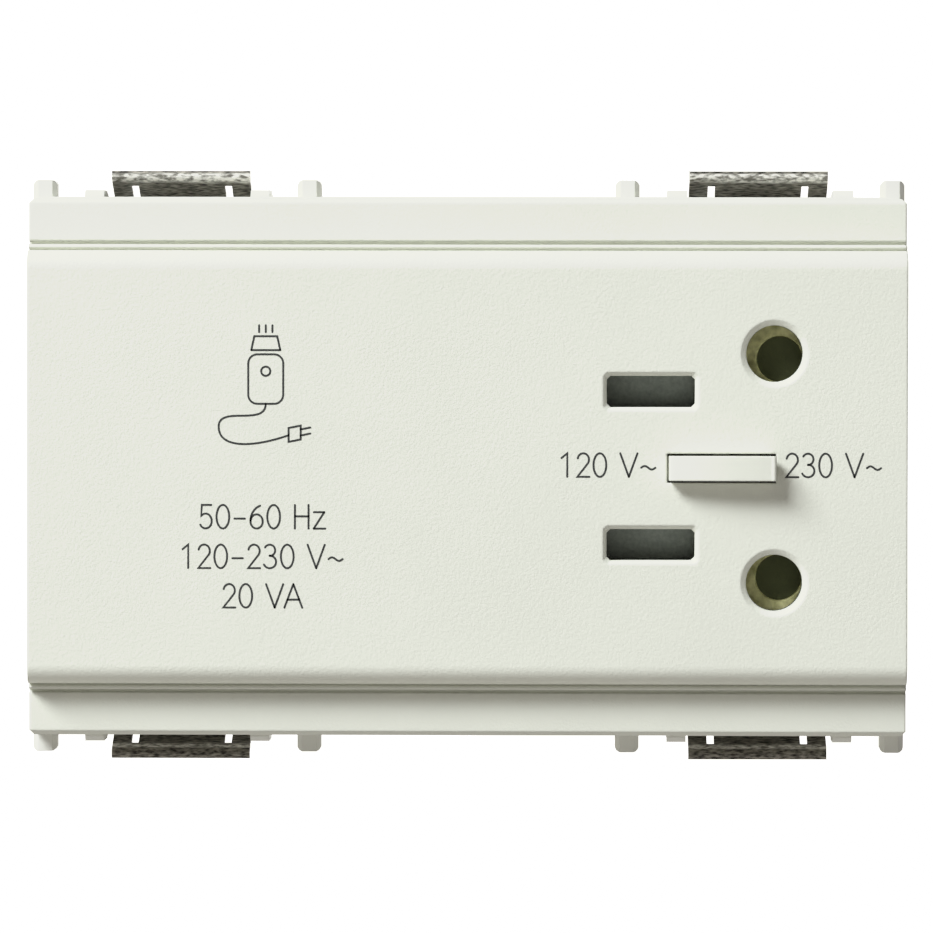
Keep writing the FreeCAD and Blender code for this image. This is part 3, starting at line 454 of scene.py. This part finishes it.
def glyphs():
    """Strokes of each character on a height of one, with its width."""
    return {
        "0": (0.61, [arc(0.305, 0.5, 0.27, 0.5, 90, 450, 48)]),
        "1": (0.56, [run((0.02, 0.80), (0.26, 1.0), (0.26, 0.0))]),
        "2": (0.56, [path(arc(0.27, 0.73, 0.24, 0.27, 168, -38), run((0.02, 0.0), (0.53, 0.0)))]),
        "3": (0.60, [arc(0.27, 0.76, 0.23, 0.24, 150, -90), arc(0.27, 0.265, 0.27, 0.265, 90, -155)]),
        "5": (0.58, [path(run((0.50, 1.0), (0.10, 1.0), (0.07, 0.53)),
                          arc(0.26, 0.315, 0.26, 0.315, 125, -150))]),
        "6": (0.60, [arc(0.29, 0.30, 0.26, 0.30, 90, 450, 48), arc(0.62, 0.32, 0.59, 0.68, 180, 108)]),
        "-": (0.62, [run((0.08, 0.42), (0.52, 0.42))]),
        "V": (0.78, [run((0.02, 1.0), (0.385, 0.0)), run((0.385, 0.0), (0.75, 1.0))]),
        "A": (0.80, [run((0.02, 0.0), (0.40, 1.0)), run((0.40, 1.0), (0.78, 0.0)),
                     run((0.15, 0.34), (0.65, 0.34))]),
        "H": (0.72, [run((0.06, 0.0), (0.06, 1.0)), run((0.64, 0.0), (0.64, 1.0)),
                     run((0.06, 0.52), (0.64, 0.52))]),
        "z": (0.56, [run((0.04, 0.70), (0.48, 0.70)), run((0.48, 0.70), (0.03, 0.0)),
                     run((0.03, 0.0), (0.52, 0.0))]),
        "~": (0.66, [wave(0.02, 0.62, 0.39, 0.075)]),
        " ": (0.32, []),
    }


def wave(start, end, middle, rise):
    """One period of a sine along a line."""
    turn = np.linspace(0, 2 * math.pi, 32)
    return np.stack((start + (end - start) * turn / (2 * math.pi), middle + rise * np.sin(turn)), axis=-1)


def ribbon(points, width, closed=False):
    """Flat ink stroke along points (x, z): at each station a section of four corners, two on the
    ink's outer face and two just under the surface, set square to the path and mitred at bends.
    Open strokes get round ends, where the half width follows the cosine of the angle."""
    half = width / 2
    if not closed:
        angle = np.radians(np.linspace(80, 0, 6))
        first = (points[0] - points[1]) / np.linalg.norm(points[0] - points[1])
        last = (points[-1] - points[-2]) / np.linalg.norm(points[-1] - points[-2])
        head = points[0] + first * half * np.sin(angle)[:, None]
        tail = points[-1] + last * half * np.sin(angle[::-1])[:, None]
        taper = half * np.cos(angle)
        halves = np.concatenate((taper, np.full(len(points) - 2, half), taper[::-1]))
        points = np.concatenate((head, points[1:-1], tail))
    else:
        points = points[:-1]
        halves = np.full(len(points), half)
    if closed:
        before = points - np.roll(points, 1, axis=0)
        after = np.roll(points, -1, axis=0) - points
    else:
        step = np.diff(points, axis=0)
        before = np.concatenate((step[:1], step))
        after = np.concatenate((step, step[-1:]))
    before /= np.linalg.norm(before, axis=1)[:, None]
    after /= np.linalg.norm(after, axis=1)[:, None]
    along = before + after
    along /= np.linalg.norm(along, axis=1)[:, None]
    side = np.stack((-along[:, 1], along[:, 0]), axis=-1)
    mitre = np.clip(np.sum(along * after, axis=1), 0.5, 1.0)
    offset = side * (halves / mitre)[:, None]
    top = face_y - INK_THICKNESS
    low = face_y + INK_THICKNESS
    corners = []
    for sign, y in ((1, top), (1, low), (-1, low), (-1, top)):
        place = points + sign * offset
        corners.append(np.stack((place[:, 0], np.full(len(place), y), place[:, 1]), axis=-1))
    grid = np.stack(corners, axis=1)
    rows = len(points)
    if closed:
        grid = np.concatenate((grid, grid[:1]))
        faces = strip_faces(rows + 1, 4, True) % (rows * 4)
        return grid[:rows].reshape(-1, 3), faces
    ends = np.array([[0, 1, 2, 3], [rows * 4 - 1, rows * 4 - 2, rows * 4 - 3, rows * 4 - 4]])
    return grid.reshape(-1, 3), np.concatenate((strip_faces(rows, 4, True), ends))


def print_strokes(name, strokes):
    """All strokes of one mark as one piece, each (points, closed)."""
    points = []
    faces = []
    count = 0
    for stroke, closed in strokes:
        new_points, new_faces = ribbon(stroke, STROKE, closed)
        points.append(new_points)
        faces.append(new_faces + count)
        count += len(new_points)
    piece = mesh_object(name, np.concatenate(points), np.concatenate(faces))
    piece.data.materials.append(ink)
    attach(piece, "base")
    return piece


def written(text, start):
    """Strokes of a line of text from its lower left corner, and the x where it ends."""
    table = glyphs()
    strokes = []
    x = start[0]
    for index, letter in enumerate(text):
        width, parts = table[letter]
        for part in parts:
            closed = letter in "06" and len(part) == 48
            strokes.append((np.array((x, start[1])) + part * LETTER_HEIGHT, closed))
        pair = text[index:index + 2]
        gap = 0.0 if pair == "VA" else LETTER_GAP
        x += (width + gap) * LETTER_HEIGHT
    return strokes, x


ink_nodes = Nodes("printed_ink")
ink_nodes.tint(ink_nodes.noise(0.0003), ((0.3, shade(INK_COLOUR, 0.8)), (0.75, shade(INK_COLOUR, 1.3))))
ink_nodes.set(Roughness=0.6)
ink_nodes.relief([(ink_nodes.noise(0.0001), 0.000003)])
ink = ink_nodes.material

for number, (line, base) in enumerate(zip(RATING_LINES, LINE_PIXELS)):
    _, end = written(line, (0.0, 0.0))
    start = face_point(RATING_CENTRE_PIXEL, base) - np.array((end / 2, 0))
    print_strokes("rating_line_%d" % (number + 1), written(line, start)[0])
for side, text, pixel in (("left", "120 V~", LEFT_MARK_PIXEL), ("right", "230 V~", RIGHT_MARK_PIXEL)):
    print_strokes("selector_mark_" + side, written(text, face_point(pixel, SELECTOR_BASE_PIXEL))[0])


# The sign above the rating is an upright shaver with its foil, a round switch and a cord that
# swings out to a two-pin plug, drawn with the same stroke.
SIGN_CENTRE_PIXEL = (265.5, 386.0)
SIGN_BODY_HALF = 1.45
SIGN_BODY_LOW = -1.5
SIGN_BODY_HIGH = 2.6
SIGN_CORNER = 0.75
SIGN_SWITCH = 0.38


def bezier(a, b, c, d, steps=30):
    """Cubic curve: the four points weighted by the Bernstein polynomials of t."""
    t = np.linspace(0, 1, steps)[:, None]
    a, b, c, d = (np.array(point, dtype=float) for point in (a, b, c, d))
    return (1 - t) ** 3 * a + 3 * (1 - t) ** 2 * t * b + 3 * (1 - t) * t ** 2 * c + t ** 3 * d


def rounded_box(half, low, high, corner):
    """Closed outline of a rectangle with round corners."""
    x = half - corner
    top, bottom = high - corner, low + corner
    centres = ((x, top, 90), (x, bottom, 0), (-x, bottom, -90), (-x, top, -180))
    turns = [arc(at_x, at_z, corner, corner, start, start - 90, 9) for at_x, at_z, start in centres]
    outline = np.concatenate(turns)
    return np.concatenate((outline, outline[:1]))


sign = [(rounded_box(SIGN_BODY_HALF, SIGN_BODY_LOW, SIGN_BODY_HIGH, SIGN_CORNER), True)]
sign.append((run((-1.2, 2.95), (-0.95, 4.1), (0.95, 4.1), (1.2, 2.95)), False))
sign.append((run((-1.2, 2.95), (1.2, 2.95)), False))
for step in (-1, 0, 1):
    sign.append((run((0.55 * step, 4.45), (0.55 * step, 5.0)), False))
sign.append((arc(0, 1.2, SIGN_SWITCH, SIGN_SWITCH, 90, 450, 28), True))
cord = path(bezier((0, SIGN_BODY_LOW), (0, -3.4), (-3.9, -1.6), (-3.9, -3.4)),
            bezier((-3.9, -3.4), (-3.9, -5.4), (-0.6, -5.0), (1.9, -4.1)))
sign.append((cord, False))
sign.append((run((1.9, -4.65), (1.9, -3.5), (2.9, -3.3), (2.9, -4.45), (1.9, -4.65)), True))
sign.append((run((2.9, -3.62), (3.7, -3.46)), False))
sign.append((run((2.9, -4.12), (3.7, -3.96)), False))
middle = face_point(*SIGN_CENTRE_PIXEL)
print_strokes("shaver_sign", [(middle + points / 1000, closed) for points, closed in sign])


# The four clips are punched and bent from spring-steel strip, hardened dark brown and left with
# the rolling lines of the strip. A painted highlight of bright specks runs along the lip's bend,
# where it catches the light, and painted shade darkens the root, where the cover's edge casts a
# contact shadow. The lower pair's painted highlight is a narrower band.
STEEL_DARK = (0.03, 0.027, 0.02)
STEEL_LIGHT = (0.36, 0.34, 0.285)
# The speck colours and bands below paint a highlight along the lips' bends.
SPECK_HIGHLIGHT_DARK = (0.20, 0.19, 0.16)
SPECK_HIGHLIGHT_LIGHT = (0.95, 0.93, 0.86)
UPPER_HIGHLIGHT_BAND = (0.0239, 0.02462)
LOWER_HIGHLIGHT_BAND = (0.02365, 0.02395)
# Height below which painted shade darkens the root, where the cover's edge casts a contact shadow.
ROOT_SHADE_TO = 0.02275
BAND_BLUR = 0.00012
BAND_WAVE = 0.0003
STEEL_RELIEF = 0.00002
STEEL_EDGE = 0.00009


def clip_steel(name, band):
    """Rolled steel, blended to a painted highlight of bright specks where the height above or below
    the middle is within band, and to painted shade, near black, towards the root."""
    paint = Nodes(name)
    lines = paint.noise(0.0002, 4.0, (0.3, 1, 1))
    specks = paint.noise(0.00024, 4.0, (0.4, 1, 1))
    parts = paint.add("ShaderNodeSeparateXYZ")
    paint.link(paint.place(), parts.inputs["Vector"])
    height = paint.add("ShaderNodeMath", operation="ABSOLUTE")
    paint.link(parts.outputs["Z"], height.inputs[0])
    wave = paint.add("ShaderNodeMath", operation="MULTIPLY_ADD")
    paint.link(paint.noise(0.0016), wave.inputs[0])
    wave.inputs[1].default_value = BAND_WAVE
    paint.link(height.outputs["Value"], wave.inputs[2])
    # painted highlight: the band along the lip's bend, where it catches the light
    low = band[0] + BAND_WAVE / 2
    high = band[1]
    both = paint.add("ShaderNodeMath", operation="MULTIPLY")
    above = paint.span(wave.outputs["Value"], 0.0, 1.0, low - BAND_BLUR, low + BAND_BLUR)
    below = paint.span(height.outputs["Value"], 1.0, 0.0, high - BAND_BLUR / 2, high + BAND_BLUR / 2)
    paint.link(above, both.inputs[0])
    paint.link(below, both.inputs[1])
    painted_highlight = both.outputs["Value"]
    paint.tint(lines, ((0.36, STEEL_DARK), (0.66, STEEL_LIGHT)))
    rolled = paint.shader.inputs["Base Color"].links[0].from_socket
    paint.tint(specks, ((0.38, SPECK_HIGHLIGHT_DARK), (0.60, SPECK_HIGHLIGHT_LIGHT)))
    bright = paint.shader.inputs["Base Color"].links[0].from_socket
    blend = paint.add("ShaderNodeMix", data_type="RGBA")
    paint.link(painted_highlight, blend.inputs[0])
    paint.link(rolled, blend.inputs[6])
    paint.link(bright, blend.inputs[7])
    # painted shade: the root goes near black under the cover's edge
    painted_root_shade = paint.add("ShaderNodeMix", data_type="RGBA")
    root = paint.span(height.outputs["Value"], 0.85, 0.0, ROOT_SHADE_TO - 2 * BAND_BLUR, ROOT_SHADE_TO)
    paint.link(root, painted_root_shade.inputs[0])
    paint.link(blend.outputs[2], painted_root_shade.inputs[6])
    painted_root_shade.inputs[7].default_value = (*shade(STEEL_DARK, 0.3), 1)
    paint.link(painted_root_shade.outputs[2], paint.shader.inputs["Base Color"])
    paint.link(paint.span(paint.noise(0.002), 0.35, 0.55), paint.shader.inputs["Roughness"])
    paint.link(paint.span(painted_highlight, 0.55, 0.15, 0.0, 1.0), paint.shader.inputs["Metallic"])
    paint.relief([(lines, STEEL_RELIEF), (specks, STEEL_RELIEF)], STEEL_EDGE)
    return paint.material


for height, band in (("upper", UPPER_HIGHLIGHT_BAND), ("lower", LOWER_HIGHLIGHT_BAND)):
    steel = clip_steel("clip_steel_" + height, band)
    for side in ("left", "right"):
        dress("spring_clip_%s_%s" % (height, side), steel)


# The strips that join the contacts, the change-over switch and the terminal blocks are stamped
# or milled from brass, dulled to olive where air reaches it, and lie in the housing's pockets.
BRASS_DARK = (0.34, 0.31, 0.13)
BRASS_LIGHT = (0.56, 0.52, 0.25)


def worked_metal(name, dark, light, stretch, roughness, metallic=1.0, edge=0.00006):
    """Metal with tool lines along the axis that stretch leaves unscaled."""
    paint = Nodes(name)
    lines = paint.noise(0.0003, 3.0, stretch)
    paint.tint(lines, ((0.3, dark), (0.7, light)))
    sheen = paint.span(paint.noise(0.0012), roughness - 0.06, roughness + 0.08)
    paint.link(sheen, paint.shader.inputs["Roughness"])
    paint.set(Metallic=metallic)
    paint.relief([(lines, 0.000003)], edge)
    return paint.material


sheet_brass = worked_metal("sheet_brass", BRASS_DARK, BRASS_LIGHT, stretch=(1, 0.15, 1), roughness=0.36)
block_brass = worked_metal("block_brass", shade(BRASS_DARK, 1.1), shade(BRASS_LIGHT, 1.1),
                           stretch=(1, 0.3, 1), roughness=0.3)
for where in ("upper", "lower"):
    dress("pole_strip_" + where, sheet_brass)
for piece in ("selector_bridge", "selector_common", "selector_contact_left", "selector_contact_right"):
    dress(piece, sheet_brass)
for pole in ("line", "neutral"):
    dress("terminal_block_" + pole, block_brass)


# Each flat contact is one spring strip, tinned dull grey and bent to a hairpin on a tail that the
# pole strip holds. Its upper leaf slants across the mouth to the lower one, so that it fills the
# slot until a pin lifts it.
LEAF_THICKNESS = 0.0004
LEAF_HALF_WIDTH = 0.0038
UPPER_LEAF = ((0.05, 1.7), (0.12, 1.3), (0.7, -0.9), (1.1, -1.15), (2.2, -0.95), (6.0, 0.55), (7.6, 1.2),
              (9.4, 1.12), (10.9, 0.62), (11.6, 0.25), (11.8, 0.0))
LOWER_LEAF = ((11.6, -0.25), (10.9, -0.62), (9.4, -1.12), (7.4, -1.4), (4.5, -1.5), (2.0, -1.55), (0.3, -1.7))
TAIL_WIDTH = 0.0024
TIN_DARK = (0.30, 0.33, 0.30)
TIN_LIGHT = (0.40, 0.43, 0.395)


def smooth_path(corners, steps=6):
    """Catmull-Rom curve through the corners."""
    points = np.array(corners, dtype=float)
    padded = np.concatenate((2 * points[:1] - points[1:2], points, 2 * points[-1:] - points[-2:-1]))
    t = np.linspace(0, 1, steps, endpoint=False)[:, None]
    runs = []
    for a, b, c, d in zip(padded, padded[1:], padded[2:], padded[3:]):
        square = 2 * a - 5 * b + 4 * c - d
        cube = 3 * b - a - 3 * c + d
        runs.append(0.5 * (2 * b + (c - a) * t + square * t ** 2 + cube * t ** 3))
    return np.concatenate(runs + [points[-1:]])


def bent_sheet(line, thickness, x0, x1):
    """Strip that follows a line (y, z): each station has four corners, half the thickness to
    either side of the line at x0 and at x1."""
    step = np.gradient(line, axis=0)
    step /= np.linalg.norm(step, axis=1)[:, None]
    side = np.stack((-step[:, 1], step[:, 0]), axis=-1) * thickness / 2
    corners = []
    for x, sign in ((x0, 1), (x1, 1), (x1, -1), (x0, -1)):
        place = line + sign * side
        corners.append(np.stack((np.full(len(line), x), place[:, 0], place[:, 1]), axis=-1))
    rows = len(line)
    ends = np.array([[0, 1, 2, 3], [rows * 4 - 1, rows * 4 - 2, rows * 4 - 3, rows * 4 - 4]])
    faces = np.concatenate((strip_faces(rows, 4, True)[:, ::-1], ends))
    return np.stack(corners, axis=1).reshape(-1, 3), faces


def tail_strip(start, end, middle):
    """Flat tail along Y from start to end, centred on middle."""
    line = np.array(((start, middle[2]), (end, middle[2])))
    return bent_sheet(line, 2 * LEAF_THICKNESS, middle[0] - TAIL_WIDTH / 2, middle[0] + TAIL_WIDTH / 2)


def joined(*parts):
    """Points and faces of several parts as one."""
    counts = np.cumsum([0] + [len(points) for points, _ in parts[:-1]])
    faces = np.concatenate([faces + count for (_, faces), count in zip(parts, counts)])
    return np.concatenate([points for points, _ in parts]), faces


def flat_spring(name):
    """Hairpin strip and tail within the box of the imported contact."""
    low, high = (np.array(corner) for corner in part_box(name))
    middle = (low + high) / 2
    hairpin = smooth_path(UPPER_LEAF + LOWER_LEAF) / 1000 + (low[1], middle[2])
    leaf = bent_sheet(hairpin, LEAF_THICKNESS, middle[0] - LEAF_HALF_WIDTH, middle[0] + LEAF_HALF_WIDTH)
    tail = tail_strip(low[1] + UPPER_LEAF[-1][0] / 1000, high[1], middle)
    spring = mesh_object("spring_" + name, *joined(leaf, tail))
    spring.data.materials.append(tinned_brass)
    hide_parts(name)
    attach(spring, "base")


tinned_brass = worked_metal("tinned_brass", TIN_DARK, TIN_LIGHT, stretch=(1, 0.4, 1), roughness=0.6,
                            metallic=0.25)
for where in ("upper", "lower"):
    flat_spring("flat_contact_" + where)


# The sleeves that take the round pins are turned from brass and float a little off the holes'
# middles, so that their flanges show as crescents. Their brass is painted bright and mostly
# unmetallic, a painted reflection that lights the crescents. A dark olive disc in each bore is
# painted shade for the bore's depth.
SLEEVE_PROFILE = ((0.0, 2.95), (0.0, 2.0), (0.12, 1.9), (11.4, 1.87), (11.6, 0.0), (12.6, 0.0), (12.6, 2.45),
                  (0.5, 2.45), (0.5, 2.95))
SHADE_DISC_PROFILE = ((0.35, 0.0), (0.35, 1.93), (0.9, 1.93), (0.9, 0.0))
SLEEVE_STEPS = 48
TAIL_DEPTH = 12.3
SLEEVE_OFFSETS = {"upper": (0.00036, -0.00030), "lower": (0.00030, 0.00022)}
# The disc colour is painted shade for the bore's depth.
BORE_SHADE_COLOUR = (0.085, 0.095, 0.035)
# The sleeve colours are brass painted bright, a painted reflection for the crescents.
SLEEVE_REFLECTION_DARK = (0.42, 0.41, 0.17)
SLEEVE_REFLECTION_LIGHT = (0.97, 0.94, 0.50)


def turned(profile, axis, front):
    """Closed profile (depth, radius) in millimetres, turned about a line along Y through axis."""
    depth, radius = np.array(profile).T / 1000
    radius = np.maximum(radius, 0.00001)
    angle = np.linspace(0, 2 * math.pi, SLEEVE_STEPS, endpoint=False)
    x = axis[0] + radius[:, None] * np.cos(angle)
    z = axis[1] + radius[:, None] * np.sin(angle)
    y = np.repeat((front + depth)[:, None], SLEEVE_STEPS, axis=1)
    faces = strip_faces(len(profile) + 1, SLEEVE_STEPS, True) % (len(profile) * SLEEVE_STEPS)
    return np.stack((x, y, z), axis=-1).reshape(-1, 3), faces


def turned_sleeve(name, offset):
    """Flanged sleeve with a flat tail, and a dark olive disc across its bore, painted shade for the bore's
    depth.
    """
    low, high = (np.array(corner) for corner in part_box(name))
    middle = (low + high) / 2
    axis = middle[[0, 2]] + offset
    tail = tail_strip(low[1] + TAIL_DEPTH / 1000, high[1], middle)
    sleeve = mesh_object("turned_" + name, *joined(turned(SLEEVE_PROFILE, axis, low[1]), tail))
    sleeve.data.materials.append(sleeve_brass_painted_reflection)
    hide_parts(name)
    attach(sleeve, "base")
    shade_disc = mesh_object("flap_" + name, *turned(SHADE_DISC_PROFILE, axis, low[1]))
    shade_disc.data.materials.append(flap_rubber)
    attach(shade_disc, "base")


# painted reflection: bright, mostly unmetallic brass
sleeve_brass_painted_reflection = worked_metal("sleeve_brass_painted_reflection", SLEEVE_REFLECTION_DARK, SLEEVE_REFLECTION_LIGHT, stretch=(0.3, 1, 0.3), roughness=0.5,
                            metallic=0.35)
# painted shade: the dark olive disc across the bore
flap_rubber = moulded_plastic("flap_rubber", BORE_SHADE_COLOUR, roughness=0.6, grain_size=0.0002,
                              grain_depth=0.000008, edge=0.00005)
for where, offset in SLEEVE_OFFSETS.items():
    turned_sleeve("round_contact_" + where, offset)


# The insert that carries the contacts, its back plate and the plunger are dark grey
# glass-filled plastic, matt and slightly fibrous. The cut-out beside them has a black case.
CARRIER_COLOUR = (0.10, 0.108, 0.094)
CUTOUT_COLOUR = (0.018, 0.018, 0.02)
carrier_plastic = moulded_plastic("carrier_plastic", CARRIER_COLOUR, roughness=0.6, grain_size=0.0002,
                                  grain_depth=0.00001, edge=0.0001)
for piece in ("contact_carrier", "carrier_back", "selector_plunger"):
    dress(piece, carrier_plastic)
cutout_plastic = moulded_plastic("cutout_plastic", CUTOUT_COLOUR, roughness=0.42, grain_size=0.0002,
                                 grain_depth=0.000006, edge=0.0002)
dress("overload_cutout", cutout_plastic)


# The transformer's core is a stack of half-millimetre silicon-steel sheets, cut edges showing
# as fine lines up the sides, bright where shears left them and blued between. The bobbin that
# it grips is glass-filled plastic.
SHEET_STEP = 0.0005
SHEET_BLUED = (0.03, 0.032, 0.04)
SHEET_BRIGHT = (0.30, 0.31, 0.34)
SHEET_RELIEF = 0.00004
BOBBIN_COLOUR = (0.17, 0.155, 0.125)

core_steel = Nodes("core_steel")
core_place = core_steel.add("ShaderNodeSeparateXYZ")
core_steel.link(core_steel.place(), core_place.inputs["Vector"])
sheet_count = core_steel.add("ShaderNodeMath", operation="MULTIPLY")
sheet_count.inputs[1].default_value = 2 * math.pi / SHEET_STEP
core_steel.link(core_place.outputs["Z"], sheet_count.inputs[0])
sheet_wave = core_steel.add("ShaderNodeMath", operation="SINE")
core_steel.link(sheet_count.outputs["Value"], sheet_wave.inputs[0])
core_steel.tint(core_steel.span(sheet_wave.outputs["Value"], 0, 1, -1.0, -0.4),
                ((0.0, SHEET_BLUED), (1.0, SHEET_BRIGHT)))
core_steel.link(core_steel.span(core_steel.noise(0.003), 0.35, 0.55), core_steel.shader.inputs["Roughness"])
core_steel.set(Metallic=0.9)
core_steel.relief([(sheet_wave.outputs["Value"], SHEET_RELIEF)], 0.0001)
for piece in ("core_e_stack", "core_i_stack"):
    dress(piece, core_steel.material)
bobbin_plastic = moulded_plastic("bobbin_plastic", BOBBIN_COLOUR, roughness=0.5, grain_size=0.0003,
                                 grain_depth=0.00001, edge=0.00015)
dress("winding_bobbin", bobbin_plastic)


# Screws, pins and the plunger's spring are small steel pieces: tinned or zinc-plated ones are
# bright, the spring is blued.
BRIGHT_DARK = (0.42, 0.42, 0.40)
BRIGHT_LIGHT = (0.72, 0.72, 0.68)
BLUED_DARK = (0.10, 0.09, 0.08)
BLUED_LIGHT = (0.3, 0.28, 0.25)
bright_steel = worked_metal("bright_steel", BRIGHT_DARK, BRIGHT_LIGHT, stretch=(1, 1, 0.2), roughness=0.3)
spring_steel = worked_metal("spring_steel", BLUED_DARK, BLUED_LIGHT, stretch=(1, 1, 1), roughness=0.3, edge=0)
dress("terminal_screws", bright_steel)
dress("bobbin_pins", bright_steel)
dress("selector_spring", spring_steel)


# Each winding is enamelled copper wire laid side by side round the bobbin in layers, so its
# outside is a rounded coil ribbed at every turn.
WIRE_SIZES = {"primary_winding": 0.00035, "secondary_winding": 0.00055}
WINDING_CORNER = 0.0025
WINDING_DEPTH = 0.0052
INNER_CORNER = 0.0006
CORNER_STEPS = 8
COPPER_DARK = (0.22, 0.07, 0.02)
COPPER_LIGHT = (0.66, 0.27, 0.09)


def rounded_loop(half_x, half_z, corner):
    """Points and outward normals round a rectangle with round corners, evenly spaced by angle."""
    angle = np.linspace(0, math.pi / 2, CORNER_STEPS, endpoint=False)
    points = []
    normals = []
    quarters = ((1, 1), (-1, 1), (-1, -1), (1, -1))
    for index, (sign_x, sign_z) in enumerate(quarters):
        turn = angle + index * math.pi / 2
        direction = np.stack((np.cos(turn), np.sin(turn)), axis=-1)
        centre = np.array((sign_x * (half_x - corner), sign_z * (half_z - corner)))
        points.append(centre + corner * direction)
        normals.append(direction)
    return np.concatenate(points), np.concatenate(normals)


def wound_coil(name, wire):
    """Surface in (turn, angle): the outer loop of the winding, whose radius follows half a circle
    across each wire's width, closed by flat cheeks and an inner loop against the bobbin."""
    low, high = (np.array(corner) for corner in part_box(name))
    middle = (low + high) / 2
    half_x, _, half_z = (high - low) / 2
    turns = int((high[1] - low[1]) / wire)
    steps = turns * 4 + 1
    along = np.linspace(low[1], high[1], steps)
    phase = (along - low[1]) / (high[1] - low[1]) * turns
    dip = wire / 2 * (1 - np.abs(np.sin(math.pi * phase)) ** 0.7)
    loop, normal = rounded_loop(half_x, half_z, WINDING_CORNER)
    inner, _ = rounded_loop(half_x - WINDING_DEPTH, half_z - WINDING_DEPTH, INNER_CORNER)
    outer_x = middle[0] + loop[None, :, 0] - dip[:, None] * normal[None, :, 0]
    outer_z = middle[2] + loop[None, :, 1] - dip[:, None] * normal[None, :, 1]
    outer = np.stack((outer_x, np.repeat(along[:, None], len(loop), axis=1), outer_z), axis=-1)
    inside = np.stack((middle[0] + inner[:, 0], np.zeros(len(inner)), middle[2] + inner[:, 1]), axis=-1)
    first = inside.copy()
    first[:, 1] = low[1]
    last = inside.copy()
    last[:, 1] = high[1]
    grid = np.concatenate((outer, last[None], first[None], outer[:1]))
    rows = len(grid)
    faces = strip_faces(rows, len(loop), True) % ((rows - 1) * len(loop))
    return mesh_object("wound_" + name, grid[:-1].reshape(-1, 3), faces[:, ::-1])


copper = Nodes("enamelled_copper")
copper.tint(copper.noise(0.0006, 3.0, (1, 3, 1)), ((0.3, COPPER_DARK), (0.7, COPPER_LIGHT)))
copper.set(Metallic=0.75, Roughness=0.28, Coat_Weight=0.5, Coat_Roughness=0.15)
copper.relief([(copper.noise(0.0002), 0.000004)])
for name, wire in WIRE_SIZES.items():
    coil = wound_coil(name, wire)
    coil.data.materials.append(copper.material)
    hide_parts(name)
    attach(coil, "base")
